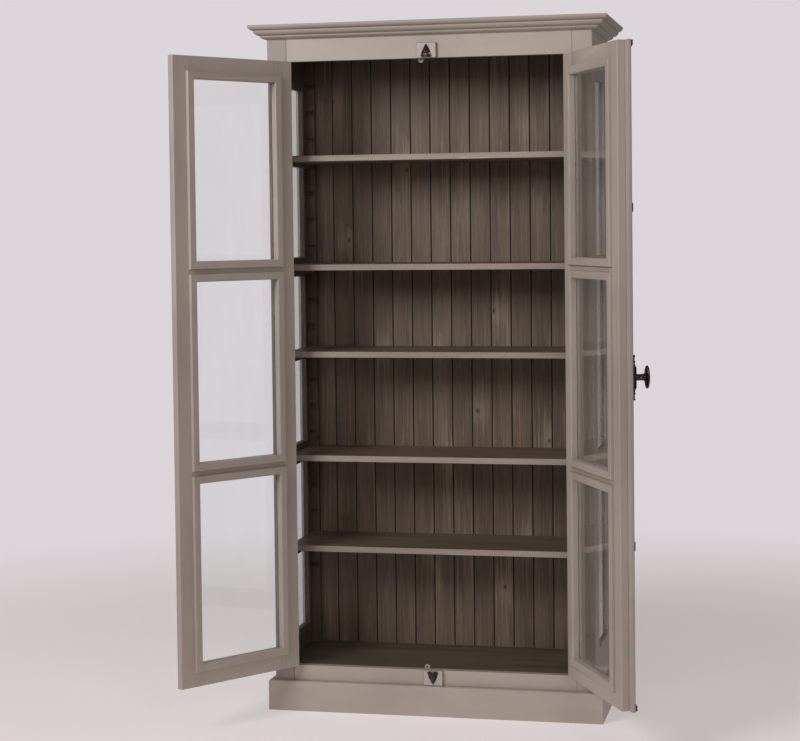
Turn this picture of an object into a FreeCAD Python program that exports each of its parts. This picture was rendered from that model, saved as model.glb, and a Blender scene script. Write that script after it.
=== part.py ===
"""Two-door display cabinet with glazed sides, toothed shelf racks and a surface bolt.

Frame: +Z up, origin on the floor in the middle of the footprint, the front towards -Y.
Lengths are millimetres and angles are degrees.  The doors stand open at rest.
"""
import FreeCAD, Part
import math
import os

# Overall sizes
total_height = 2000.0
body_width = 950.0
body_depth = 360.0

# Cornice
cornice_overhang = 46.0
cornice_height = 40.0

# Plinth
plinth_height = 88.0
plinth_projection = 17.0
plinth_thickness = 30.0
plinth_arris = 5.0
plinth_back_thickness = 22.0
bearer_width = 40.0

# Face frame
face_stile_width = 57.5
face_top_rail_height = 85.0
face_bottom_rail_height = 44.0
joint_groove = 1.5
outer_arris = 2.0

# Top and bottom boards
top_board_thickness = 20.0
bottom_board_thickness = 20.0

# Side frames
side_thickness = 22.0
side_front_stile_width = 55.5
side_rear_stile_width = 78.0

# Back of tongued boards
back_recess = 8.0
back_thickness = 14.0
back_rebate = 10.0
board_pitch = 61.2
board_shift = -4.5
board_chamfer = 3.0
tongue_thickness = 4.0
tongue_reach = 5.0
tongue_clearance = 0.3

# Doors
door_thickness = 22.0
door_back_gap = 0.5
door_gap = 1.5
meeting_gap = 2.0
door_stile_width = 66.6
door_rail_height = 64.0
door_bar_height = 57.5
door_arris = 1.5
left_rest_angle = 125.7
right_rest_angle = 117.8

# Glazing, the same in the doors and the sides
lip_thickness = 8.0
glass_thickness = 4.0
glass_cover = 10.0
bead_width = 22.0
door_bead_proud = 9.0
side_bead_proud = 4.0
bead_inner_round = 3.0
bead_round_share = 0.29
bead_outer_bevel = 1.5
light_count = 3
sight_chamfer = 2.0

# Shelves, from the top one down, as shares of the opening's height, and what carries them
shelf_height_shares = [0.847, 0.6655, 0.52, 0.346, 0.194]
shelf_thickness = 18.0
shelf_setback = 66.0
shelf_side_clearance = 1.0
shelf_back_clearance = 0.5
shelf_chamfer = 1.0
rack_width = 28.0
rack_thickness = 18.0
rack_clearance = 1.0
notch_depth = 10.0
notch_height = 14.0
notch_pitch = 81.9
notch_count = 19
first_notch_drop = 43.4
cleat_width = 20.0
cleat_height = 13.0
cleat_clearance = 0.5

# Astragal on the right door, which laps over the left one
astragal_width = 40.0
astragal_thickness = 10.5
astragal_arris = 2.5
closing_clearance = 0.4

# Surface bolt on the astragal, half way up the door
rod_radius = 3.0
rod_standoff = 0.3
rod_tip_length = 3.0
rod_tip_radius = 1.8
lower_rod_reach = 2.0
rod_clearance = 0.3
guide_offset_share = 0.2525
guide_height = 24.0
guide_wall = 3.0
guide_flange_width = 26.0
guide_flange_thickness = 2.5
end_guide_height = 24.0
pinion_teeth = 12
pinion_pitch_radius = 6.0
pinion_addendum = 0.85
rack_addendum = 0.7
tooth_root_clearance = 0.25
tooth_backlash = 0.25
pressure_angle = 20.0
gear_thickness = 4.0
knob_turn = 180.0
toothed_bar_back = 3.5
toothed_bar_end = 3.6
bar_foot_height = 7.0
bar_foot_gap = 3.5
spindle_radius = 3.5
spindle_clearance = 0.06
spindle_back_gap = 0.6
spindle_in_knob = 16.0
cavity_clearance = 0.4
case_wall = 2.5
case_front_wall = 1.0
case_end_clearance = 5.5
case_middle_height = 55.0
case_middle_proud = 3.3
case_middle_wider = 5.0
case_round = 4.0
knob_gap = 0.3
neck_radius = 9.5
neck_waist_radius = 8.8
neck_length = 28.5
oval_height = 61.0
oval_width = 30.0
oval_thickness = 13.0
grip_sink = 1.0

# Keepers on pads, and door stops
pad_width = 56.0
pad_plinth_gap = 1.0
pad_chamfer = 1.0
keeper_mouth_gap = 1.2
keeper_end_gap = 5.3
keeper_bore_depth = 19.5
keeper_mouth_radius = 8.8
keeper_end_radius = 2.6
keeper_bore_mouth_radius = 5.4
keeper_bore_end_radius = 3.8
keeper_width = 31.6
keeper_plate_shares = [(0.0, 0.78), (0.28, 0.88), (0.53, 0.68), (0.81, 0.38), (1.0, 0.14)]
keeper_flange_thickness = 2.0
keeper_lobe_radius = 3.8
keeper_lobe_thickness = 3.5
stop_radius = 7.8
stop_thickness = 5.0
stop_reach = 3.6
stop_offset = 22.7
stop_tab_width = 12.0
stop_tab_thickness = 3.0
stop_tab_length = 20.0
stop_notch_clearance = 0.5

# Butt hinges
hinge_height = 76.0
hinge_inset = 150.0
hinges_per_door = 3
leaf_back_margin = 2.0
leaf_thickness = 2.0
barrel_radius = 4.0
barrel_face_gap = 0.3
pin_radius = 2.2
pin_clearance = 0.05
pin_head_height = 2.0
pin_head_radius = 3.2
knuckle_count = 5
knuckle_gap = 0.3
screw_head_radius = 3.4
screw_head_height = 1.9
screw_shank_radius = 1.6
screw_length = 14.0
screws_per_leaf = 3
screw_stagger_share = 0.2

# One overrun serves every cut
overrun = 1.0

# Cornice section: shares of the overhang and of the height, from the lower back corner up.
# Each arc is given by its middle and its end.
cornice_lip_share = (0.07, 0.0)
cornice_start_share = (0.11, 0.03)
cornice_lower_arc_shares = [(0.28, 0.10), (0.37, 0.21)]
cornice_lower_step_shares = [(0.37, 0.275), (0.42, 0.275)]
cornice_middle_arc_shares = [(0.61, 0.375), (0.715, 0.56)]
cornice_middle_step_shares = [(0.715, 0.625), (0.76, 0.625)]
cornice_upper_arc_shares = [(0.92, 0.73), (1.0, 0.90)]
cornice_top_share = (1.0, 0.96)
cornice_back_share = (0.96, 1.0)

# Places that follow from the sizes above
half_body = body_width / 2
face_y = -(body_depth - plinth_projection) / 2
back_y = face_y + body_depth
carcase_top = total_height - top_board_thickness
opening_top = carcase_top - face_top_rail_height
opening_bottom = plinth_height + face_bottom_rail_height
face_thickness = door_thickness + door_back_gap
frame_back_y = face_y + face_thickness
half_opening = half_body - face_stile_width
side_inner = half_body - side_thickness
boards_front_y = back_y - back_recess - back_thickness
door_bottom = opening_bottom + door_gap
door_top = opening_top - door_gap
door_width = half_opening - door_gap - meeting_gap / 2
door_hinge_x = -half_opening + door_gap
door_meeting_x = door_hinge_x + door_width
lights_height = door_top - door_bottom - 2 * door_rail_height - (light_count - 1) * door_bar_height
light_height = lights_height / light_count
light_pitch = light_height + door_bar_height
light_bottoms = [door_bottom + door_rail_height + i * light_pitch for i in range(light_count)]
pin_x = -half_opening + door_gap / 2
pin_y = face_y - barrel_radius - barrel_face_gap
astragal_front_y = face_y - astragal_thickness
rod_y = astragal_front_y - rod_standoff - rod_radius
knob_height = (door_bottom + door_top) / 2
guide_offset = (door_top - door_bottom) * guide_offset_share
bolt_travel = math.radians(knob_turn) * pinion_pitch_radius
bar_back = pinion_pitch_radius + pinion_addendum + tooth_root_clearance + toothed_bar_back
bar_reach = bolt_travel + toothed_bar_end
case_end_width = 2 * (bar_back + cavity_clearance + case_wall)
case_end_depth = rod_standoff + 2 * rod_radius + cavity_clearance + case_front_wall
case_middle_width = case_end_width + case_middle_wider
case_middle_depth = case_end_depth + case_middle_proud
foot_reach = bar_reach + bar_foot_gap + bar_foot_height
case_length = 2 * (foot_reach + bolt_travel + case_end_clearance + case_wall)
pad_height = face_bottom_rail_height - pad_plinth_gap
keeper_height = pad_height - keeper_mouth_gap - keeper_end_gap
leaf_depth = door_thickness - leaf_back_margin
opening_height = opening_top - opening_bottom
shelf_heights = [opening_bottom + opening_height * share for share in shelf_height_shares]
rack_front_inner_y = frame_back_y + rack_thickness
rack_rear_inner_y = boards_front_y - rack_thickness
shelf_half_width = side_inner - side_bead_proud - shelf_side_clearance

os.makedirs("parts", exist_ok=True)


def vec(x, y, z):
    return FreeCAD.Vector(x, y, z)


def box(x0, x1, y0, y1, z0, z1):
    """Block between three pairs of planes."""
    return Part.makeBox(x1 - x0, y1 - y0, z1 - z0, vec(x0, y0, z0))


def prism(points, direction):
    """Extrusion of a closed polygon."""
    return Part.Face(Part.makePolygon(list(points) + [points[0]])).extrude(direction)


def cylinder(radius, start, direction, length):
    return Part.makeCylinder(radius, length, start, direction)


def cone(radius0, radius1, start, direction, length):
    return Part.makeCone(radius0, radius1, length, start, direction)


def mirrored(shape):
    """The same piece on the other side of the middle plane."""
    return shape.mirror(vec(0, 0, 0), vec(1, 0, 0))


def write(name, solids):
    """One file for one node."""
    if not isinstance(solids, list):
        solids = [solids]
    shape = solids[0] if len(solids) == 1 else Part.makeCompound(solids)
    shape.exportStep("parts/" + name + ".step")


def single(shape):
    """The one solid of a result."""
    return shape.Solids[0]


# Cornice

def cornice_section():
    """Face of the moulding, outwards along -Y from the face frame's front."""
    base = total_height - cornice_height

    def at(share):
        return vec(0, face_y - cornice_overhang * share[0], base + cornice_height * share[1])

    edges = []
    corner = vec(0, face_y, base)
    edges.append(Part.makeLine(corner, at(cornice_lip_share)))
    edges.append(Part.makeLine(at(cornice_lip_share), at(cornice_start_share)))
    here = at(cornice_start_share)
    members = [(cornice_lower_arc_shares, cornice_lower_step_shares),
               (cornice_middle_arc_shares, cornice_middle_step_shares),
               (cornice_upper_arc_shares, [cornice_top_share, cornice_back_share])]
    for arc, steps in members:
        middle, end = at(arc[0]), at(arc[1])
        edges.append(Part.Arc(here, middle, end).toShape())
        here = end
        for step in steps:
            edges.append(Part.makeLine(here, at(step)))
            here = at(step)
    top_corner = vec(0, face_y, total_height)
    edges.append(Part.makeLine(here, top_corner))
    edges.append(Part.makeLine(top_corner, corner))
    return Part.Face(Part.Wire(edges))


def plan_prism(points, z0, z1):
    return prism([vec(x, y, z0) for x, y in points], vec(0, 0, z1 - z0))


def make_cornice():
    reach = half_body + cornice_overhang
    outer_y = face_y - cornice_overhang
    base = total_height - cornice_height
    section = cornice_section()
    run = section.copy()
    run.translate(vec(-reach, 0, 0))
    run = run.extrude(vec(2 * reach, 0, 0))
    front_plan = [(-reach, outer_y), (reach, outer_y), (half_body, face_y), (-half_body, face_y)]
    front = run.common(plan_prism(front_plan, base, total_height))
    side = section.copy()
    side.rotate(vec(0, face_y, 0), vec(0, 0, 1), 90)
    side.translate(vec(half_body, -cornice_overhang, 0))
    side = side.extrude(vec(0, body_depth + cornice_overhang, 0))
    side_plan = [(half_body, face_y), (reach, outer_y), (reach, back_y), (half_body, back_y)]
    right = side.common(plan_prism(side_plan, base, total_height))
    write("cornice_front", single(front))
    write("cornice_right", single(right))
    write("cornice_left", mirrored(single(right)))


# Plinth

def plinth_section():
    """Face of the plinth board with its rounded upper arris, outwards along -Y."""
    outer = face_y - plinth_projection
    inner = outer + plinth_thickness
    r = plinth_arris
    k = r * (1 - math.sqrt(0.5))
    a = vec(0, outer, plinth_height - r)
    m = vec(0, outer + k, plinth_height - k)
    b = vec(0, outer + r, plinth_height)
    corners = [vec(0, inner, plinth_height), vec(0, inner, 0), vec(0, outer, 0)]
    edges = [Part.Arc(a, m, b).toShape()]
    here = b
    for corner in corners + [a]:
        edges.append(Part.makeLine(here, corner))
        here = corner
    return Part.Face(Part.Wire(edges))


def make_plinth():
    outer_x = half_body + plinth_projection
    inner_x = outer_x - plinth_thickness
    outer_y = face_y - plinth_projection
    inner_y = outer_y + plinth_thickness
    section = plinth_section()
    run = section.copy()
    run.translate(vec(-outer_x, 0, 0))
    run = run.extrude(vec(2 * outer_x, 0, 0))
    front_plan = [(-outer_x, outer_y), (outer_x, outer_y), (inner_x, inner_y), (-inner_x, inner_y)]
    front = run.common(plan_prism(front_plan, 0, plinth_height))
    side = section.copy()
    side.rotate(vec(0, face_y, 0), vec(0, 0, 1), 90)
    side.translate(vec(half_body, -plinth_projection, 0))
    side = side.extrude(vec(0, body_depth + plinth_projection, 0))
    side_plan = [(inner_x, inner_y), (outer_x, outer_y), (outer_x, back_y), (inner_x, back_y)]
    right = side.common(plan_prism(side_plan, 0, plinth_height))
    write("plinth_front", single(front))
    write("plinth_right", single(right))
    write("plinth_left", mirrored(single(right)))
    back_front_y = back_y - plinth_back_thickness
    write("plinth_back", box(-inner_x, inner_x, back_front_y, back_y, 0, plinth_height))
    under_board = opening_bottom - bottom_board_thickness
    half_bearer = bearer_width / 2
    write("plinth_bearer", box(-half_bearer, half_bearer, frame_back_y, back_front_y, 0, under_board))


# Boards at the top, bottom and back

def make_boards():
    write("top_board", box(-half_body, half_body, face_y, back_y, carcase_top, total_height))
    board_low = opening_bottom - bottom_board_thickness
    board = box(-side_inner, side_inner, frame_back_y, boards_front_y, board_low, opening_bottom)
    half = stop_radius + stop_notch_clearance
    deep = frame_back_y + stop_thickness + stop_notch_clearance
    notch = box(-stop_offset - half, -stop_offset + half, frame_back_y - overrun, deep,
                board_low - overrun, opening_bottom + overrun)
    write("bottom_board", single(board.cut(notch)))


def back_board(x0, x1, tongue, groove):
    """Upright board, V-chamfered on its inner face, with a tongue at x1 and a groove at x0."""
    y0 = boards_front_y
    y1 = boards_front_y + back_thickness
    mid = (y0 + y1) / 2
    t = tongue_thickness / 2
    g = t + tongue_clearance
    c = board_chamfer
    deep = tongue_reach + tongue_clearance
    left = [(x0, y1), (x0, y0)]
    if groove:
        left = [(x0, y1), (x0, mid + g), (x0 + deep, mid + g), (x0 + deep, mid - g),
                (x0, mid - g), (x0, y0 + c), (x0 + c, y0)]
    right = [(x1, y0), (x1, y1)]
    if tongue:
        right = [(x1 - c, y0), (x1, y0 + c), (x1, mid - t), (x1 + tongue_reach, mid - t),
                 (x1 + tongue_reach, mid + t), (x1, mid + t), (x1, y1)]
    return plan_prism(left + right, plinth_height, carcase_top)


def make_back():
    reach = side_inner + back_rebate
    inner_count = int(reach // board_pitch)
    joints = [board_shift + i * board_pitch for i in range(-inner_count, inner_count + 1)]
    stations = [-reach] + joints + [reach]
    last = len(stations) - 2
    boards = []
    for i in range(last + 1):
        boards.append(back_board(stations[i], stations[i + 1], i < last, i > 0))
    write("back_boards", boards)


# Hinges and their screws

def screw(point, direction):
    """Countersunk wood screw whose head is flush at point and whose shank runs along direction."""
    head = cone(screw_head_radius, screw_shank_radius, point, direction, screw_head_height)
    shank = cylinder(screw_shank_radius, point, direction, screw_length)
    return head.fuse(shank).removeSplitter()


def hinge_bottoms():
    """Lower end of each hinge of a door."""
    low = door_bottom + hinge_inset
    high = door_top - hinge_inset - hinge_height
    step = (high - low) / (hinges_per_door - 1)
    return [low + i * step for i in range(hinges_per_door)]


def leaf_plate(face_x, into, z0):
    """Flat of a leaf let into an edge at face_x, thickness along into."""
    x0, x1 = sorted((face_x, face_x + into * leaf_thickness))
    return box(x0, x1, face_y, face_y + leaf_depth, z0, z0 + hinge_height)


def leaf_screws(face_x, into, z0):
    depth = face_y + leaf_depth / 2
    pitch = hinge_height / screws_per_leaf
    stagger = leaf_depth * screw_stagger_share
    found = []
    for i in range(screws_per_leaf):
        y = depth + (stagger if i % 2 else -stagger)
        found.append(screw(vec(face_x, y, z0 + (i + 0.5) * pitch), vec(into, 0, 0)))
    return found


def knuckled_leaf(face_x, into, z0, first, bore):
    """Leaf plate with its knuckles: every second one, starting at first."""
    leaf = leaf_plate(face_x, into, z0)
    pitch = hinge_height / knuckle_count
    x0, x1 = sorted((face_x, face_x + into * leaf_thickness))
    for i in range(first, knuckle_count, 2):
        low = z0 + i * pitch + (knuckle_gap / 2 if i else 0)
        high = z0 + (i + 1) * pitch - (knuckle_gap / 2 if i < knuckle_count - 1 else 0)
        ring = cylinder(barrel_radius, vec(pin_x, pin_y, low), vec(0, 0, 1), high - low)
        neck = box(x0, x1, pin_y, face_y, low, high)
        leaf = leaf.fuse(ring).fuse(neck)
    hole = cylinder(bore, vec(pin_x, pin_y, z0 - overrun), vec(0, 0, 1), hinge_height + 2 * overrun)
    leaf = leaf.cut(hole)
    for fastener in leaf_screws(face_x, into, z0):
        leaf = leaf.cut(fastener)
    return single(leaf.removeSplitter())


def hinge_pin(z0):
    pin = cylinder(pin_radius, vec(pin_x, pin_y, z0), vec(0, 0, 1), hinge_height)
    ends = [(z0 + hinge_height, vec(0, 0, 1)), (z0, vec(0, 0, -1))]
    for z, direction in ends:
        head = cone(pin_head_radius, pin_radius, vec(pin_x, pin_y, z), direction, pin_head_height)
        pin = pin.fuse(head)
    return pin.removeSplitter()


# Face frame

def make_face_frame():
    y0, y1 = face_y, frame_back_y
    g, a = joint_groove, outer_arris
    plan = [(-half_body + a, y0), (-half_opening - g, y0), (-half_opening, y0 + g), (-half_opening, y1),
            (-half_body, y1), (-half_body, y0 + a)]
    stile = plan_prism(plan, plinth_height, carcase_top)
    for z0 in hinge_bottoms():
        stile = stile.cut(leaf_plate(-half_opening, -1, z0))
        for fastener in leaf_screws(-half_opening, -1, z0):
            stile = stile.cut(fastener)
    write("face_stile_left", single(stile))
    write("face_stile_right", mirrored(single(stile)))
    rail = [(-half_opening + g, y0), (half_opening - g, y0), (half_opening, y0 + g), (half_opening, y1),
            (-half_opening, y1), (-half_opening, y0 + g)]
    write("face_rail_top", plan_prism(rail, opening_top, carcase_top))
    write("face_rail_bottom", plan_prism(rail, plinth_height, opening_bottom))
    leaves, pins, screws = [], [], []
    for z0 in hinge_bottoms():
        leaf = knuckled_leaf(-half_opening, -1, z0, 0, pin_radius)
        pin = hinge_pin(z0)
        leaves += [leaf, mirrored(leaf)]
        pins += [pin, mirrored(pin)]
        for fastener in leaf_screws(-half_opening, -1, z0):
            screws += [fastener, mirrored(fastener)]
    write("hinge_leaves_frame", leaves)
    write("hinge_pins", pins)
    write("hinge_screws_frame", screws)


# Glazing: a light is the sight opening between a low and a high corner, in one of two planes.
# across(p, d, z) turns a place along the frame, a depth from the outer face and a height into a point.

def mitred_solid(first, second):
    """Solid between two polygons with flat sides."""
    faces = [Part.Face(Part.makePolygon(end + [end[0]])) for end in (first, second)]
    for i in range(len(first)):
        j = (i + 1) % len(first)
        loop = [first[i], first[j], second[j], second[i], first[i]]
        faces.append(Part.Face(Part.makePolygon(loop)))
    solid = Part.Solid(Part.Shell(faces))
    if solid.Volume < 0:
        solid.reverse()
    return solid


def bead_strips(p0, p1, z0, z1, across, top):
    """Four mitred glazing beads of one light, rounded towards the glass and bevelled on the outer
    side; top is the depth that they stand out to."""
    w = bead_width
    a = bead_inner_round
    k = a * bead_round_share
    b = bead_outer_bevel
    seat = lip_thickness + glass_thickness
    corners = [(p0, z0), (p1, z0), (p1, z1), (p0, z1)]
    outers = [(p0 - w, z0 - w), (p1 + w, z0 - w), (p1 + w, z1 + w), (p0 - w, z1 + w)]
    section_steps = [(0, seat), (0, top - a), (k, top - k), (a, top),
                     (w - b, top), (w, top - b), (w, seat)]
    strips = []
    for i in range(4):
        j = (i + 1) % 4
        # The section at both mitred ends
        wires = []
        for inner, outer in ((corners[i], outers[i]), (corners[j], outers[j])):
            points = []
            for out, depth in section_steps:
                share = out / w
                p = inner[0] + (outer[0] - inner[0]) * share
                z = inner[1] + (outer[1] - inner[1]) * share
                points.append(across(p, depth, z))
            wires.append(points)
        strips.append(mitred_solid(wires[0], wires[1]))
    return strips


def door_point(p, depth, z):
    """p from the left door's hinge edge, depth inwards from its outer face."""
    return vec(door_hinge_x + p, face_y + depth, z)


def side_point(p, depth, z):
    """p from the body's front, depth inwards from the right side's outer face."""
    return vec(half_body - depth, face_y + p, z)


def span(across, p0, p1, d0, d1, z0, z1):
    """Block between two corners given in a frame's own terms."""
    a, b = across(p0, d0, z0), across(p1, d1, z1)
    xs, ys = sorted((a.x, b.x)), sorted((a.y, b.y))
    return box(xs[0], xs[1], ys[0], ys[1], z0, z1)


def sight_bevel(p0, p1, z0, z1, across):
    """Tapered cut that bevels the outer arris of a sight opening."""
    wide = sight_chamfer + overrun
    loops = []
    for depth, g in ((-overrun, wide), (sight_chamfer, 0)):
        corners = [(p0 - g, z0 - g), (p1 + g, z0 - g), (p1 + g, z1 + g), (p0 - g, z1 + g)]
        loops.append([across(p, depth, z) for p, z in corners])
    return mitred_solid(loops[0], loops[1])


def glaze(p0, p1, across, thickness, proud):
    """Panes, beads, sight cuts and rebate cuts of a frame's lights."""
    panes, beads, cuts = [], [], []
    w, m = bead_width, glass_cover
    glass_back = lip_thickness + glass_thickness
    for z0 in light_bottoms:
        z1 = z0 + light_height
        panes.append(span(across, p0 - m, p1 + m, lip_thickness, glass_back, z0 - m, z1 + m))
        beads += bead_strips(p0, p1, z0, z1, across, thickness + proud)
        cuts.append(span(across, p0, p1, -overrun, thickness + overrun, z0, z1))
        cuts.append(sight_bevel(p0, p1, z0, z1, across))
        cuts.append(span(across, p0 - w, p1 + w, lip_thickness, thickness + overrun, z0 - w, z1 + w))
    return panes, beads, cuts


def cut_all(solid, cuts):
    """The solid without each cut that reaches it."""
    for tool in cuts:
        if solid.BoundBox.intersect(tool.BoundBox):
            solid = solid.cut(tool)
    return single(solid.removeSplitter())


def bars_between(across, p0, p1, thickness, cuts):
    """The glazing bars between the lights."""
    found = []
    for low, high in zip(light_bottoms, light_bottoms[1:]):
        found.append(cut_all(span(across, p0, p1, 0, thickness, low + light_height, high), cuts))
    return found


# Side frames

def make_sides():
    t = side_thickness
    p_front = face_thickness + side_front_stile_width
    p_rear = body_depth - side_rear_stile_width
    panes, beads, cuts = glaze(p_front, p_rear, side_point, t, side_bead_proud)
    low, high = light_bottoms[0], light_bottoms[-1] + light_height
    front_stile = span(side_point, face_thickness, p_front, 0, t, plinth_height, carcase_top)
    front_stile = cut_all(front_stile, cuts)
    rebate = box(side_inner - overrun, side_inner + back_rebate, boards_front_y, back_y + overrun,
                 plinth_height - overrun, carcase_top + overrun)
    rear_stile = span(side_point, p_rear, body_depth, 0, t, plinth_height, carcase_top)
    rear_stile = cut_all(rear_stile, cuts + [rebate])
    rails = [cut_all(span(side_point, p_front, p_rear, 0, t, plinth_height, low), cuts),
             cut_all(span(side_point, p_front, p_rear, 0, t, high, carcase_top), cuts)]
    rails += bars_between(side_point, p_front, p_rear, t, cuts)
    write("side_stiles_right", [front_stile, rear_stile])
    write("side_stiles_left", [mirrored(front_stile), mirrored(rear_stile)])
    write("side_rails_right", rails)
    write("side_rails_left", [mirrored(r) for r in rails])
    write("side_panes", panes + [mirrored(p) for p in panes])
    write("side_beads", beads + [mirrored(b) for b in beads])


# Shelves

def notch_tops():
    """Heights of the notches' level upper faces: an even row, with each shelf's own at its underside."""
    taken = [top - shelf_thickness + cleat_clearance for top in shelf_heights]
    row = [opening_top - first_notch_drop - i * notch_pitch for i in range(notch_count)]
    free = [z for z in row if min(abs(z - own) for own in taken) > notch_pitch / 2]
    return free + taken


def make_racks():
    x0 = side_inner - rack_width
    rear = box(x0, side_inner, rack_rear_inner_y, boards_front_y, opening_bottom, carcase_top)
    front = box(x0, side_inner, frame_back_y, rack_front_inner_y, opening_bottom, carcase_top)
    slope = notch_depth / notch_height
    for z1 in notch_tops():
        for_rear = [vec(x0 - overrun, rack_rear_inner_y - overrun, z1),
                    vec(x0 - overrun, rack_rear_inner_y + notch_depth, z1),
                    vec(x0 - overrun, rack_rear_inner_y - overrun, z1 - notch_height - overrun / slope)]
        through = vec(rack_width + 2 * overrun, 0, 0)
        rear = rear.cut(prism(for_rear, through))
        for_front = [vec(p.x, rack_front_inner_y + rack_rear_inner_y - p.y, p.z) for p in for_rear]
        front = front.cut(prism(for_front, through))
    rear, front = single(rear), single(front)
    write("shelf_racks", [rear, front, mirrored(rear), mirrored(front)])


def make_cleats():
    """Cleats whose slanting ends rest on the slopes of the notches."""
    x1 = shelf_half_width
    slope = notch_depth / notch_height
    high_reach = slope * (notch_height - cleat_clearance)
    low_reach = slope * (notch_height - cleat_clearance - cleat_height)
    y0, y1 = rack_front_inner_y, rack_rear_inner_y
    cleats = []
    for top in shelf_heights:
        z1 = top - shelf_thickness
        z0 = z1 - cleat_height
        points = [(y0 - low_reach, z0), (y1 + low_reach, z0),
                  (y1 + high_reach, z1), (y0 - high_reach, z1)]
        cleat = prism([vec(x1 - cleat_width, y, z) for y, z in points], vec(cleat_width, 0, 0))
        cleats += [cleat, mirrored(cleat)]
    write("shelf_cleats", cleats)


def make_shelves():
    y0 = face_y + shelf_setback
    y1 = boards_front_y - shelf_back_clearance
    corner_x = side_inner - rack_width - rack_clearance
    corner_y = rack_rear_inner_y - rack_clearance
    w, c = shelf_half_width, shelf_chamfer
    for number, top in enumerate(shelf_heights, 1):
        z0 = top - shelf_thickness
        side = [(y0, z0 + c), (y0 + c, z0), (y1, z0), (y1, top), (y0 + c, top), (y0, top - c)]
        shelf = prism([vec(-w, y, z) for y, z in side], vec(2 * w, 0, 0))
        for sign in (-1, 1):
            xs = sorted((sign * corner_x, sign * (w + overrun)))
            shelf = shelf.cut(box(xs[0], xs[1], corner_y, y1 + overrun, z0 - overrun, top + overrun))
        write("shelf_%d" % number, single(shelf))


# Doors

def door_arris_cuts(under_astragal):
    """Wedges that take the sharp arrises off a door's four outer edges, front and back, apart
    from the front meeting one where an astragal covers it."""
    w, t, a, o = door_width, door_thickness, door_arris, overrun
    cuts = []
    for depth, out in ((0, -1), (t, 1)):
        far = depth + out * o
        near = depth - out * (a + o)
        for edge, way in ((0, -1), (w, 1)):
            if under_astragal and depth == 0 and edge == w:
                continue
            plan = [(edge + way * o, far), (edge - way * (a + o), far), (edge + way * o, near)]
            cuts.append(prism([door_point(p, d, door_bottom - o) for p, d in plan],
                              vec(0, 0, door_top - door_bottom + 2 * o)))
        for edge, way in ((door_bottom, -1), (door_top, 1)):
            side = [(edge + way * o, far), (edge - way * (a + o), far), (edge + way * o, near)]
            cuts.append(prism([door_point(-o, d, z) for z, d in side], vec(w + 2 * o, 0, 0)))
    return cuts


def door_frame(side):
    """Stiles, rails, bars, panes and beads of a closed left door, and its hinge leaves and screws."""
    t, w = door_thickness, door_width
    s, r = door_stile_width, door_rail_height
    panes, beads, cuts = glaze(s, w - s, door_point, t, door_bead_proud)
    cuts += door_arris_cuts(side == "right")
    for z0 in hinge_bottoms():
        cuts.append(leaf_plate(door_hinge_x, 1, z0))
        cuts += leaf_screws(door_hinge_x, 1, z0)
    low, high = door_bottom, door_top
    bored = pin_radius + pin_clearance
    leaves = [knuckled_leaf(door_hinge_x, 1, z0, 1, bored) for z0 in hinge_bottoms()]
    fasteners = [found for z0 in hinge_bottoms() for found in leaf_screws(door_hinge_x, 1, z0)]
    pieces = {
        "stile_hinge": cut_all(span(door_point, 0, s, 0, t, low, high), cuts),
        "stile_meeting": cut_all(span(door_point, w - s, w, 0, t, low, high), cuts),
        "rail_bottom": cut_all(span(door_point, s, w - s, 0, t, low, low + r), cuts),
        "rail_top": cut_all(span(door_point, s, w - s, 0, t, high - r, high), cuts),
        "bars": bars_between(door_point, s, w - s, t, cuts),
        "panes": panes,
        "beads": beads,
        "hinge_leaves": leaves,
        "hinge_screws": fasteners,
    }
    return {"door_" + side + "_" + name: found for name, found in pieces.items()}


def opened_left(shape):
    turned = shape.copy()
    turned.rotate(vec(pin_x, pin_y, 0), vec(0, 0, 1), -left_rest_angle)
    return turned


def opened_right(shape):
    turned = shape.copy()
    turned.rotate(vec(-pin_x, pin_y, 0), vec(0, 0, 1), right_rest_angle)
    return turned


def write_open(name, solids, opened):
    if not isinstance(solids, list):
        solids = [solids]
    write(name, [opened(s) for s in solids])


def make_doors():
    for name, solids in door_frame("left").items():
        write_open(name, solids, opened_left)
    for name, solids in door_frame("right").items():
        solids = solids if isinstance(solids, list) else [solids]
        write_open(name, [mirrored(s) for s in solids], opened_right)


# Astragal and surface bolt, made on the closed right door, with the bolt's line at x = 0

def make_astragal():
    half = astragal_width / 2
    a = astragal_arris
    front = astragal_front_y
    edge_x = meeting_gap / 2
    relief = face_y - closing_clearance
    plan = [(half - a, front), (half, front + a), (half, face_y), (edge_x, face_y), (edge_x, relief),
            (-half, relief), (-half, front + a), (-half + a, front)]
    write_open("astragal", plan_prism(plan, door_bottom, door_top), opened_right)


def toothed_bar(sign):
    """Rack along z on the sign side of the pinion, teeth towards it, at the bolt's drawn-back place."""
    pitch = 2 * math.pi * pinion_pitch_radius / pinion_teeth
    half_tooth = pitch / 4 - tooth_backlash / 2
    slope = math.tan(math.radians(pressure_angle))
    root = pinion_pitch_radius + pinion_addendum + tooth_root_clearance
    tip = pinion_pitch_radius - rack_addendum
    low, high = -bar_reach, foot_reach
    outline = [(bar_back, high), (bar_back, low), (root, low)]
    wide = half_tooth + (root - pinion_pitch_radius) * slope
    narrow = half_tooth - rack_addendum * slope
    count = int((bar_reach - wide) / pitch)
    for i in range(-count, count + 1):
        z = i * pitch
        outline += [(root, z - wide), (tip, z - narrow), (tip, z + narrow), (root, z + wide)]
    outline.append((root, high))
    y0 = rod_y - gear_thickness / 2
    points = [vec(sign * x, y0, knob_height + sign * z) for x, z in outline]
    return prism(points, vec(0, gear_thickness, 0))


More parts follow.
